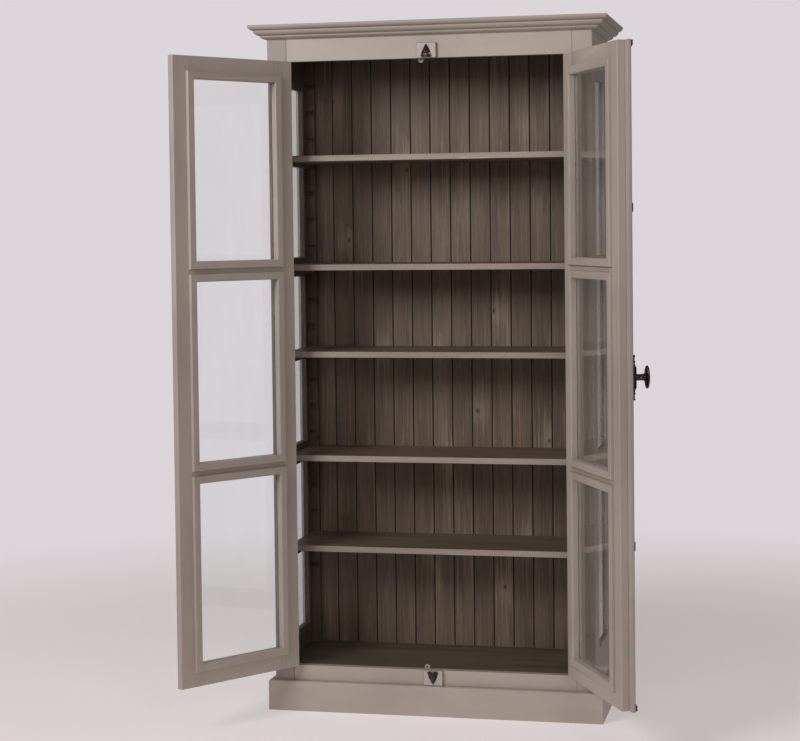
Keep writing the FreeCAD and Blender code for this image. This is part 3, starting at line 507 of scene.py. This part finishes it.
def glass_finish():
    """Clear float glass with a faint green body and a few smears of old polish."""
    made, sheet, shader = finish_of("window glass")
    smear = sheet.noise(sheet.mapped(sheet.place(), scale=(7, 7, 2.5)), 1.0, 5, 0.65, 0.6)
    sheet.put(shader.inputs["Base Color"], sheet.clouded(smear, glass_tones))
    sheet.put(shader.inputs["Roughness"], sheet.ramp(smear, 0.45, 0.8, 0.0, 0.03))
    shader.inputs["Transmission Weight"].default_value = 1.0
    shader.inputs["IOR"].default_value = 1.5
    return made


def iron_finish():
    """Black lacquered casting: glossy, slightly pitted, worn to grey on a few high places."""
    made, sheet, shader = finish_of("black lacquered iron")
    place = sheet.place()
    pits = sheet.noise(place, 420, 4, 0.6)
    cloud = sheet.noise(place, 35, 3, 0.6)
    colour = sheet.blend(sheet.ramp(cloud, 0.35, 0.75), *iron_tones)
    colour = sheet.blend(sheet.ramp(pits, 0.68, 0.80, 0.0, 0.3), colour, iron_worn)
    sheet.put(shader.inputs["Base Color"], colour)
    sheet.put(shader.inputs["Roughness"], sheet.ramp(cloud, 0.3, 0.8, 0.16, 0.30))
    sheet.put(shader.inputs["Normal"], sheet.bump(pits, 0.12, 0.0003))
    shader.inputs["Specular Tint"].default_value = iron_glint
    shader.inputs["Coat Weight"].default_value = 0.4
    shader.inputs["Coat Roughness"].default_value = 0.06
    return made


def steel_finish():
    """Bright zinc-plated steel, brushed along the pin, dull in patches."""
    made, sheet, shader = finish_of("bright steel")
    place = sheet.place()
    lines = sheet.noise(sheet.mapped(place, scale=(1500, 1500, 40)), 1.0, 3, 0.6)
    cloud = sheet.noise(place, 60, 3, 0.6)
    sheet.put(shader.inputs["Base Color"], sheet.clouded(cloud, steel_tones))
    shader.inputs["Metallic"].default_value = 1.0
    sheet.put(shader.inputs["Roughness"], sheet.ramp(lines, 0.3, 0.8, 0.25, 0.42))
    sheet.put(shader.inputs["Normal"], sheet.bump(lines, 0.15, 0.0001))
    return made


def plastic_finish():
    """Milky soft plastic of the door stops."""
    made, sheet, shader = finish_of("milky plastic")
    cloud = sheet.noise(sheet.place(), 90, 3, 0.6)
    sheet.put(shader.inputs["Base Color"], sheet.clouded(cloud, plastic_tones))
    sheet.put(shader.inputs["Roughness"], sheet.ramp(cloud, 0.3, 0.8, 0.35, 0.5))
    shader.inputs["Subsurface Weight"].default_value = 0.2
    shader.inputs["Subsurface Radius"].default_value = (0.004, 0.004, 0.004)
    return made


def floor_finish():
    """Pale floor that fades out into the surround."""
    made, sheet, shader = finish_of("pale floor")
    cloud = sheet.noise(sheet.place(), 1.2, 3, 0.5)
    sheet.put(shader.inputs["Base Color"], sheet.blend(cloud, *floor_tones))
    shader.inputs["Roughness"].default_value = 0.6
    shader.inputs["Emission Color"].default_value = floor_glow_tone
    shader.inputs["Emission Strength"].default_value = floor_glow
    x, y, _ = sheet.parts(sheet.place())
    away = sheet.length(x, y)
    sheet.put(shader.inputs["Alpha"], sheet.ramp(away, *floor_fade, 1.0, 0.0))
    return made


# Modelling with the edit-mode tools. The bolt is made on the closed right door and then swung open.
# bolt_face is the astragal's front, bolt_middle the knob's height and rod_line the rods' axis

bolt_face = -0.1820
bolt_middle = 1.0135
door_ends = (0.1335, 1.8935)
rod_line = -0.1853
right_pin = Vector((0.41675, -0.1758, 0.0))
# Turns of a cylinder that stands upright
front_to_back, side_to_side = (math.radians(90), 0, 0), (0, math.radians(90), 0)
as_it_is, upside_down = (0, 0, 0), (math.radians(180), 0, 0)
smooth_angle, ease_angle = math.radians(38), math.radians(35)
left_rest_angle = math.radians(125.7)
right_rest_angle = math.radians(117.8)
tiny = 0.00001


def start(kind, name, place, turn=(0, 0, 0), **values):
    """A new primitive with its place in its mesh, open for editing and wholly selected."""
    select_none()
    getattr(bpy.ops.mesh, "primitive_" + kind + "_add")(location=place, rotation=turn, **values)
    bpy.ops.object.transform_apply(location=True, rotation=True, scale=True)
    piece = bpy.context.object
    piece.name = piece.data.name = name
    bpy.ops.object.mode_set(mode="EDIT")
    bpy.ops.mesh.select_all(action="SELECT")
    return piece


def pick(piece, kind, test):
    """Select the points or faces whose middle and normal pass the test; say if there are any."""
    bpy.ops.mesh.select_mode(type=kind)
    bpy.ops.mesh.select_all(action="DESELECT")
    mesh = bmesh.from_edit_mesh(piece.data)
    found = False
    for part in mesh.verts if kind == "VERT" else mesh.faces:
        middle = part.co if kind == "VERT" else part.calc_center_median()
        if test(middle, part.normal):
            part.select_set(True)
            found = True
    mesh.select_flush_mode()
    bmesh.update_edit_mesh(piece.data)
    return found


def slice_at(axis, places):
    """Rings of edges round the open piece where it is to be shaped."""
    for place in places:
        bpy.ops.mesh.select_all(action="SELECT")
        point, normal = [0, 0, 0], [0, 0, 0]
        point[axis], normal[axis] = place, 1
        bpy.ops.mesh.bisect(plane_co=point, plane_no=normal)


def stretch(centre, factors):
    bpy.ops.transform.resize(value=factors, center_override=centre)


def shift(by):
    bpy.ops.transform.translate(value=by)


def done(piece):
    """Merge doubles, point the faces outwards and leave edit mode."""
    bpy.ops.mesh.select_mode(type="VERT")
    bpy.ops.mesh.select_all(action="SELECT")
    bpy.ops.mesh.remove_doubles(threshold=tiny)
    bpy.ops.mesh.normals_make_consistent(inside=False)
    bpy.ops.object.mode_set(mode="OBJECT")
    return piece


def alone(piece):
    """Select only this piece and make it the active one."""
    select_none()
    piece.select_set(True)
    bpy.context.view_layer.objects.active = piece
    return piece


def finished_with(piece, name, kind, **values):
    """Add a modifier and apply it."""
    alone(piece)
    made = piece.modifiers.new(name, kind)
    for label, value in values.items():
        setattr(made, label, value)
    bpy.ops.object.modifier_apply(modifier=made.name)
    return piece


def rounded(piece, width, segments=2, angle=30):
    return finished_with(piece, "rounded", "BEVEL", width=width, segments=segments,
                         limit_method="ANGLE", angle_limit=math.radians(angle))


def carved(piece, cutter):
    """Take the cutter's shape out of the piece."""
    finished_with(piece, "carved", "BOOLEAN", operation="DIFFERENCE", solver="EXACT", object=cutter)
    bpy.data.objects.remove(cutter, do_unlink=True)
    return piece


def merged(pieces, name):
    """Several castings as one piece."""
    select_none()
    for piece in pieces:
        piece.select_set(True)
    bpy.context.view_layer.objects.active = pieces[0]
    if len(pieces) > 1:
        bpy.ops.object.join()
    whole = bpy.context.object
    whole.name = whole.data.name = name
    bpy.ops.object.shade_smooth_by_angle(angle=smooth_angle)
    return whole


def twin(piece, move):
    """Copy with a mesh of its own, set in place by a matrix."""
    other = piece.copy()
    other.data = piece.data.copy()
    bpy.context.collection.objects.link(other)
    alone(other)
    other.matrix_world = move @ other.matrix_world
    bpy.ops.object.transform_apply(location=True, rotation=True, scale=True)
    bpy.ops.object.mode_set(mode="EDIT")
    bpy.ops.mesh.select_all(action="SELECT")
    bpy.ops.mesh.normals_make_consistent(inside=False)
    bpy.ops.object.mode_set(mode="OBJECT")
    return other


def swung_open(piece):
    """Carry a piece made on the closed right door to where the door stands."""
    alone(piece)
    turn = Matrix.Rotation(right_rest_angle, 4, "Z")
    piece.matrix_world = Matrix.Translation(right_pin) @ turn @ Matrix.Translation(-right_pin)
    bpy.ops.object.transform_apply(location=True, rotation=True, scale=True)
    return piece


def shown(piece, body, finish, node=None):
    """Give a finished piece its body, its finish and the node it stands for."""
    piece.data.materials.clear()
    piece.data.materials.append(finish)
    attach(piece, body)
    if node:
        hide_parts(node)


# Case of the surface bolt: a casting that steps from scrolled ends up to a thick middle.
# Stations: distance from the middle, half width there, depth there

case_half, case_depth, case_shoulder = 0.0160, 0.0108, 0.0095
case_ends = 0.0598
case_last = (case_ends, 0.0118, 0.0069)
case_stations = [(0.0270, 0.0160, 0.0108), (0.0277, 0.0152, 0.0100), (0.0325, 0.0138, 0.0085),
                 (0.0378, 0.0124, 0.0071), (0.0400, 0.0137, 0.0078), (0.0430, 0.0137, 0.0077),
                 (0.0452, 0.0123, 0.0069), (0.0500, 0.0120, 0.0069), (0.0535, 0.0124, 0.0070),
                 (0.0556, 0.0138, 0.0080), (0.0585, 0.0138, 0.0080)]
case_side_start, case_side_fall = 0.004, 0.0011
case_line_reach = 0.02
case_line_margin, case_line_slope, case_line_depth = 0.0016, 0.0007, 0.0006
case_rib_reach = (0.044, 0.0535)
case_rib_margin, case_rib_slope, case_rib_height = 0.0022, 0.0009, 0.0007
case_ease = 0.0007
bar_room, bar_room_depth = (0.0218, 0.0075, 0.1120), 0.00185
rod_way_radius, rod_way_length = 0.0033, 0.14
spindle_way_radius, spindle_way_length = 0.0036, 0.05
pearl_radius, pearl_flatness = 0.0021, 0.7
pearl_rim, pearl_dip = 0.0002, 0.0001
pearl_spacing, pearl_depth, pearl_height = 0.0085, 0.0076, 0.0415


def cast_case():
    """Body of the bolt: a stepped casting, hollow behind, bored for the rods and the spindle."""
    half, depth, shoulder = case_half, case_depth, case_shoulder
    side, front = half - tiny, bolt_face - depth + tiny
    piece = start("cube", "bolt_case_cast", (0, bolt_face - depth / 2, bolt_middle), size=1)
    stretch((0, bolt_face, bolt_middle), (2 * half, 1, 2 * case_ends))
    stretch((0, bolt_face - depth / 2, bolt_middle), (1, depth, 1))
    slice_at(0, (-shoulder, shoulder))
    slice_at(2, [bolt_middle + sign * z for sign in (-1, 1) for z, _, _ in case_stations])
    for sign in (-1, 1):
        for z, wide, deep in case_stations + [case_last]:
            level_z = bolt_middle + sign * z
            if pick(piece, "VERT", lambda p, n: abs(p.z - level_z) < tiny and abs(p.x) > side):
                stretch((0, 0, level_z), (wide / half, 1, 1))
            if pick(piece, "VERT", lambda p, n: abs(p.z - level_z) < tiny and p.y < front):
                shift((0, depth - deep, 0))
    # The sides of the face fall away a little
    pick(piece, "VERT", lambda p, n: abs(p.x) > shoulder + tiny
         and p.y < bolt_face - case_side_start)
    shift((0, case_side_fall, 0))
    # A sunk line round the middle
    pick(piece, "FACE", lambda p, n: n.y < -0.9 and abs(p.z - bolt_middle) < case_line_reach
         and abs(p.x) < shoulder)
    bpy.ops.mesh.inset(thickness=case_line_margin, depth=0)
    bpy.ops.mesh.inset(thickness=case_line_slope, depth=-case_line_depth)
    bpy.ops.mesh.inset(thickness=case_line_slope, depth=case_line_depth)
    # A rib down each end
    rib_start, rib_end = case_rib_reach
    for sign in (-1, 1):
        pick(piece, "FACE", lambda p, n: n.y < -0.5 and abs(p.x) < shoulder
             and rib_start < sign * (p.z - bolt_middle) < rib_end)
        bpy.ops.mesh.inset(thickness=case_rib_margin, depth=0)
        bpy.ops.mesh.inset(thickness=case_rib_slope, depth=case_rib_height)
    done(piece)
    rounded(piece, case_ease, 2, 28)
    room_middle = (0, bolt_face - bar_room_depth, bolt_middle)
    room = start("cube", "room for the bars", room_middle, size=1)
    stretch(room_middle, bar_room)
    bpy.ops.object.mode_set(mode="OBJECT")
    carved(piece, room)
    for radius, place, turn, length in (
            (rod_way_radius, (0, rod_line, bolt_middle), as_it_is, rod_way_length),
            (spindle_way_radius, (0, bolt_face, bolt_middle), front_to_back, spindle_way_length)):
        bore = start("cylinder", "bore", place, turn, vertices=32, radius=radius, depth=length)
        bpy.ops.object.mode_set(mode="OBJECT")
        carved(piece, bore)
    pearl = start("uv_sphere", "pearl", (0, 0, 0), segments=16, ring_count=8, radius=pearl_radius)
    stretch((0, 0, 0), (1, pearl_flatness, 1))
    pick(pearl, "FACE", lambda p, n: n.y < -0.9)
    bpy.ops.mesh.inset(thickness=pearl_rim, depth=-pearl_dip)
    done(pearl)
    pearls = []
    for sign in (-1, 1):
        for x in (-pearl_spacing, 0, pearl_spacing):
            place = (x, bolt_face - pearl_depth, bolt_middle + sign * pearl_height)
            pearls.append(twin(pearl, Matrix.Translation(place)))
    bpy.data.objects.remove(pearl, do_unlink=True)
    return merged([piece] + pearls, "bolt_case_cast")


# Turning knob: fluted neck between two collars, and an oval grip with a rim

knob_start = -0.1933
neck_length = 0.0285
neck_radius = 0.0095
# Rings: distance from the neck's start, share of its width there
neck_rings = ((0.0024, 1.0), (0.0034, 0.95), (0.0090, 0.92), (0.0180, 0.92), (0.0235, 0.95),
              (0.0245, 1.0))
flute_start, flute_end = 0.0034, 0.0235
flute_margin, flute_depth = 0.00035, 0.0005
neck_ease = 0.0003
grip_middle = -0.2273
grip_thick = 0.0125
grip_radius = 0.0150
grip_oval = 2.03
rim_reach, rim_swell = 0.0020, (1.02, 1.35, 1.015)
grip_face_share = 0.36
groove_margin, groove_slope, groove_depth = 0.0008, 0.0009, 0.0005
lock_place, lock_radius, lock_length = (-0.0086, 0.0135), 0.0022, 0.0018
socket_margin, socket_slope, socket_depth = 0.0005, 0.0003, 0.0006


def cast_knob():
    """Neck and grip as one casting, and the lock screw by itself."""
    neck = start("cylinder", "neck", (0, knob_start - neck_length / 2, bolt_middle), front_to_back,
                 vertices=24, radius=neck_radius, depth=neck_length)
    slice_at(1, [knob_start - y for y, _ in neck_rings])
    for y, factor in neck_rings[1:-1]:
        pick(neck, "VERT", lambda p, n: abs(p.y - knob_start + y) < tiny)
        stretch((0, knob_start - y, bolt_middle), (factor, 1, factor))
    # Flutes: every face of the waist is pushed in between its ribs
    pick(neck, "FACE", lambda p, n: abs(n.y) < 0.5
         and knob_start - flute_end < p.y < knob_start - flute_start)
    bpy.ops.mesh.inset(thickness=flute_margin, use_individual=True)
    bpy.ops.transform.shrink_fatten(value=-flute_depth)
    done(neck)
    rounded(neck, neck_ease, 2, 40)
    grip = start("uv_sphere", "grip", (0, grip_middle, bolt_middle), front_to_back,
                 segments=40, ring_count=20, radius=grip_radius)
    stretch((0, grip_middle, bolt_middle), (1, grip_thick / (2 * grip_radius), grip_oval))
    # The rim is full, and a rounded groove follows it on the face
    pick(grip, "FACE", lambda p, n: abs(p.y - grip_middle) < rim_reach)
    stretch((0, grip_middle, bolt_middle), rim_swell)
    pick(grip, "FACE", lambda p, n: p.y < grip_middle - grip_thick * grip_face_share)
    bpy.ops.mesh.inset(thickness=groove_margin, depth=0)
    bpy.ops.mesh.inset(thickness=groove_slope, depth=-groove_depth)
    bpy.ops.mesh.inset(thickness=groove_slope, depth=groove_depth)
    done(grip)
    finished_with(grip, "smooth", "SUBSURF", levels=1, render_levels=1)
    # The headless screw that locks the neck on the spindle
    aside, along = lock_place
    lock = start("cylinder", "lock screw", (aside, knob_start - along, bolt_middle), side_to_side,
                 vertices=20, radius=lock_radius, depth=lock_length)
    pick(lock, "FACE", lambda p, n: n.x < -0.9)
    bpy.ops.mesh.inset(thickness=socket_margin, depth=0)
    bpy.ops.mesh.inset(thickness=socket_slope, depth=-socket_depth)
    done(lock)
    return merged([neck, grip], "bolt_knob_cast"), merged([lock], "knob_lock_screw")


# Hooded keepers and end guides: a half-round barrel on a pointed plate, a scroll at both corners of
# the mouth. Shares: how far along the height, and the share of the full width there

plate_width, plate_thick, plate_middle, plate_ease = 0.0276, 0.0019, 0.0010, 0.0003
plate_shares = ((0.0, 0.70), (0.12, 0.82), (0.28, 0.99), (0.42, 0.91), (0.53, 0.80), (0.68, 0.61),
                (0.81, 0.42), (0.92, 0.24), (1.0, 0.12))
plate_margin, plate_line = 0.0008, 0.0004
barrel_radius, barrel_share, barrel_ease = 0.0088, 0.94, 0.00025
barrel_shares = ((0.0, 1.0), (0.07, 1.0), (0.10, 0.91), (0.36, 0.90), (0.375, 0.99),
                 (0.43, 0.99), (0.445, 0.88), (0.56, 0.82), (0.66, 0.70), (0.75, 0.52),
                 (0.82, 0.34), (0.93, 0.22), (1.0, 0.12))
barrel_flutes = (0.10, 0.36)
barrel_flute_margin, barrel_flute_depth = 0.00035, 0.0004
scroll_radius, scroll_length, scroll_wall, scroll_ease = 0.0043, 0.0034, 0.0025, 0.0009
scroll_middle, scroll_rise, scroll_spacing = 0.0018, 0.0044, 0.0115
tip_radius, tip_middle, tip_drop, tip_stretch = 0.0022, 0.0014, 0.0016, (0.7, 0.62, 1.3)
bore_overrun = 0.001


def cast_hood(name, mouth, sign, height, bores):
    """Hood that points up with sign 1 and down with -1. bores: the rod way's radius at the mouth
    and at its far end, and its length."""
    end = mouth + sign * height
    middle = (mouth + end) / 2
    plate = start("cube", "plate", (0, bolt_face - plate_middle, middle), size=1)
    stretch((0, bolt_face - plate_middle, middle), (plate_width, plate_thick, height))
    slice_at(2, [mouth + sign * height * share for share, _ in plate_shares[1:-1]])
    for share, factor in plate_shares:
        level_z = mouth + sign * height * share
        pick(plate, "VERT", lambda p, n: abs(p.z - level_z) < tiny)
        stretch((0, bolt_face, level_z), (factor, 1, 1))
    pick(plate, "FACE", lambda p, n: n.y < -0.9)
    bpy.ops.mesh.inset(thickness=plate_margin, depth=0)
    bpy.ops.mesh.inset(thickness=plate_line, depth=-plate_line)
    done(plate)
    rounded(plate, plate_ease, 2)

    barrel = start("cylinder", "barrel", (0, rod_line, middle), vertices=24, radius=barrel_radius,
                   depth=height * barrel_share)
    low, high = middle - height * (barrel_share / 2), middle + height * (barrel_share / 2)
    first, last = (low, high) if sign > 0 else (high, low)
    slice_at(2, [first + (last - first) * share for share, _ in barrel_shares[1:-1]])
    for share, factor in barrel_shares:
        level_z = first + (last - first) * share
        pick(barrel, "VERT", lambda p, n: abs(p.z - level_z) < tiny)
        stretch((0, rod_line, level_z), (factor, factor, 1))
    flutes_start, flutes_end = barrel_flutes
    pick(barrel, "FACE", lambda p, n: abs(n.z) < 0.8
         and flutes_start < (p.z - first) / (last - first) < flutes_end)
    bpy.ops.mesh.inset(thickness=barrel_flute_margin, use_individual=True)
    bpy.ops.transform.shrink_fatten(value=-barrel_flute_depth)
    bpy.ops.mesh.select_all(action="SELECT")
    bpy.ops.mesh.bisect(plane_co=(0, bolt_face, 0), plane_no=(0, 1, 0),
                        clear_outer=True, use_fill=True)
    done(barrel)
    rounded(barrel, barrel_ease, 2, 40)

    scroll = start("cylinder", "scroll", (0, bolt_face - scroll_middle, mouth + sign * scroll_rise),
                   front_to_back, vertices=24, radius=scroll_radius, depth=scroll_length)
    pick(scroll, "FACE", lambda p, n: abs(n.y) > 0.9)
    bpy.ops.mesh.inset(thickness=scroll_wall, depth=0)
    bpy.ops.mesh.bridge_edge_loops()
    done(scroll)
    rounded(scroll, scroll_ease, 3)
    scrolls = [twin(scroll, Matrix.Translation((x, 0, 0)))
               for x in (-scroll_spacing, scroll_spacing)]
    bpy.data.objects.remove(scroll, do_unlink=True)

    tip_place = (0, bolt_face - tip_middle, end - sign * tip_drop)
    tip = start("uv_sphere", "tip", tip_place, segments=16, ring_count=8, radius=tip_radius)
    stretch(tip_place, tip_stretch)
    done(tip)
    near, far, length = bores
    bore_middle = mouth + sign * length / 2 - sign * (bore_overrun / 2)
    for part in (plate, barrel):
        bore = start("cone", "bore", (0, rod_line, bore_middle),
                     as_it_is if sign > 0 else upside_down,
                     vertices=32, radius1=near, radius2=far, depth=length + bore_overrun)
        bpy.ops.object.mode_set(mode="OBJECT")
        carved(part, bore)
    return merged([plate, barrel, tip] + scrolls, name)


# Slotted screws: the head is domed in steps, and each one is turned a little further than the last

screw_radius, screw_head = 0.0021, 0.0008
screw_margin, screw_domes = 0.0006, (0.0003, 0.0001)
slot_middle, slot_size = 0.0012, (0.00055, 0.0010, 0.0060)
screw_turn, screw_turn_step = 20, 37


def slotted_screw():
    """Round-headed screw with a slot, its head's seat at the origin, facing -Y."""
    piece = start("cylinder", "screw", (0, -screw_head / 2, 0), front_to_back, vertices=24,
                  radius=screw_radius, depth=screw_head)
    pick(piece, "FACE", lambda p, n: n.y < -0.9)
    for dome in screw_domes:
        bpy.ops.mesh.inset(thickness=screw_margin, depth=dome)
    done(piece)
    slot_cut = start("cube", "slot", (0, -slot_middle, 0), size=1)
    stretch((0, -slot_middle, 0), slot_size)
    bpy.ops.object.mode_set(mode="OBJECT")
    return carved(piece, slot_cut)


def screws_at(source, name, places, proud=1.0):
    """Copies of a screw; proud is the share of its head's height that stands out."""
    copies = []
    for number, place in enumerate(places):
        turn = Matrix.Rotation(math.radians(screw_turn_step * number + screw_turn), 4, "Y")
        turn = turn @ Matrix.Scale(proud, 4, (0, 1, 0))
        copies.append(twin(source, Matrix.Translation(place) @ turn))
    return merged(copies, name)


# Where the hoods and the screws go. The rod ways: radius at the mouth, at the far end, and length

guide_height, guide_bores = 0.0240, (0.0033, 0.0033, 0.0250)
keeper_low, keeper_high, keeper_height = 0.1308, 1.8962, 0.0365
keeper_bores = (0.0054, 0.0038, 0.0195)
case_screw_aside, case_screw_depth, case_screw_rise = 0.0072, 0.0071, 0.0571
guide_screw_aside, guide_screw_depth, guide_share = 0.0096, 0.0024, 0.2525
stop_screws = [(-0.0227, -0.1490, 1.8914), (-0.0227, -0.1490, 0.1356)]
stop_screw_share = 0.15


def fit_bolt(iron, steel):
    """Model the visible ironwork and set it on its bodies."""
    shown(swung_open(cast_case()), "door_right", iron, "bolt_case")
    knob, lock = cast_knob()
    shown(swung_open(knob), "knob", iron, "bolt_knob")
    shown(swung_open(lock), "knob", steel)
    low, high = door_ends
    ends = [cast_hood("end_guide_low", low, 1, guide_height, guide_bores),
            cast_hood("end_guide_high", high, -1, guide_height, guide_bores)]
    end_guides = swung_open(merged(ends, "bolt_end_guides_cast"))
    shown(end_guides, "door_right", iron, "bolt_end_guides")
    keepers = [cast_hood("keeper_low", keeper_low, -1, keeper_height, keeper_bores),
               cast_hood("keeper_high", keeper_high, 1, keeper_height, keeper_bores)]
    shown(merged(keepers, "bolt_keepers_cast"), "carcase", iron, "bolt_keepers")
    source = slotted_screw()
    seats = []
    guide_screw_rise = (high - low) * guide_share
    for aside, depth, rise in ((case_screw_aside, case_screw_depth, case_screw_rise),
                               (guide_screw_aside, guide_screw_depth, guide_screw_rise)):
        for z in (bolt_middle - rise, bolt_middle + rise):
            seats += [(x, bolt_face - depth, z) for x in (-aside, aside)]
    shown(swung_open(screws_at(source, "bolt_screws", seats)), "door_right", iron)
    # The closed left door rests on the stops, so their screws are all but flush
    flush = screws_at(source, "stop_screws", stop_screws, stop_screw_share)
    shown(flush, "carcase", iron)
    bpy.data.objects.remove(source, do_unlink=True)


def dress(names, finish):
    """Give every slot of the named nodes the finish."""
    for name in names:
        slots = nodes[name].data.materials
        if not len(slots):
            slots.append(finish)
        for i in range(len(slots)):
            slots[i] = finish


def soften(names, width):
    """Eased arrises: the solids have sharp ones, and hand-finished wood has none."""
    for name in names:
        weld = nodes[name].modifiers.new("joined", "WELD")
        weld.merge_threshold = 2 * tiny
        ease = nodes[name].modifiers.new("eased", "BEVEL")
        ease.width = width
        ease.segments = 2
        ease.limit_method = "ANGLE"
        ease.angle_limit = ease_angle
        ease.harden_normals = True


wood_ease, board_ease, guide_ease, stop_ease = 0.0008, 0.0006, 0.0010, 0.0012
doors = ("door_left_", "door_right_")
door_turns = {"door_left_": left_rest_angle, "door_right_": -right_rest_angle}
board_width, board_offset = 0.0612, -0.0045

set_camera()
studio()

shelves = ["shelf_%d" % i for i in range(1, 6)]
painted_wood = ["face_stile_left", "face_stile_right", "side_stiles_left", "side_stiles_right",
                "astragal", "keeper_pads", "side_beads", "face_rail_top", "face_rail_bottom",
                "cornice_front", "plinth_front", "side_rails_left", "side_rails_right",
                "cornice_left", "cornice_right", "plinth_left", "plinth_right"]
for door in doors:
    painted_wood += [door + part for part in ("rail_top", "rail_bottom", "bars", "stile_hinge",
                                              "stile_meeting", "beads")]
soften(painted_wood + shelves + ["bottom_board", "shelf_cleats", "shelf_racks"], wood_ease)
soften(["back_boards"], board_ease)

brush = brush_marks()
grain = plank_grain()
inside = (grain, inner_tones)
paint_upright = painted("taupe paint, upright", taupe, upright, brush)
paint_level = painted("taupe paint, level", taupe, level, brush)
paint_inward = painted("taupe paint, front to back", taupe, inward, brush)
dress(["face_stile_right", "astragal"], paint_upright)
dress(["face_stile_left"], painted("taupe paint, left stile", stile_tone, upright, brush))
dress(["keeper_pads"], painted("taupe paint, pads", pad_tone, upright, brush, rims=pad_shade_rims))
dress(["face_rail_top", "face_rail_bottom", "cornice_front", "plinth_front", "plinth_back",
       "top_board"], paint_level)
dress(["cornice_left", "cornice_right", "plinth_left", "plinth_right", "plinth_bearer"],
      paint_inward)
dress(["side_stiles_left", "side_stiles_right"],
      painted("side stiles, painted out and stained in", taupe, upright, brush, inside=inside))
dress(["side_rails_left", "side_rails_right"],
      painted("side rails, painted out and stained in", taupe, inward, brush, inside=inside))
for door in doors:
    swung = painted("taupe paint, " + door[:-1].replace("_", " "), taupe, level, brush,
                    door_turns[door])
    dress([door + "rail_top", door + "rail_bottom", door + "bars"], swung)
    dress([door + "stile_hinge", door + "stile_meeting", door + "beads"], paint_upright)

dress(["back_boards"],
      stained("stained pine, back boards", pine_tones, upright, grain, 1.0, 0.55, 0.5,
              (board_width, board_offset)))
dress(["shelf_racks", "side_beads"],
      stained("stained pine, racks and beads", inner_tones, upright, grain, 0.0, 0.4, 0.5))
dress(["bottom_board", "shelf_cleats"],
      stained("stained pine, bottom board", floor_board_tones, level, grain, 0.4, 0.4, 0.45))
dress(shelves, shelf_finish(grain))

glass = glass_finish()
dress(["side_panes", "door_left_panes", "door_right_panes"], glass)
iron = iron_finish()
steel = steel_finish()
soften(["bolt_guides"], guide_ease)
dress(["bolt_case", "bolt_guides", "bolt_knob", "bolt_rod_upper", "bolt_rod_lower", "bolt_keepers",
       "bolt_end_guides"], iron)
dress(["bolt_pinion", "hinge_leaves_frame", "hinge_pins", "hinge_screws_frame"], steel)
for door in doors:
    dress([door + "hinge_leaves", door + "hinge_screws"], steel)
soften(["door_stops"], stop_ease)
dress(["door_stops"], plastic_finish())
fit_bolt(iron, steel)
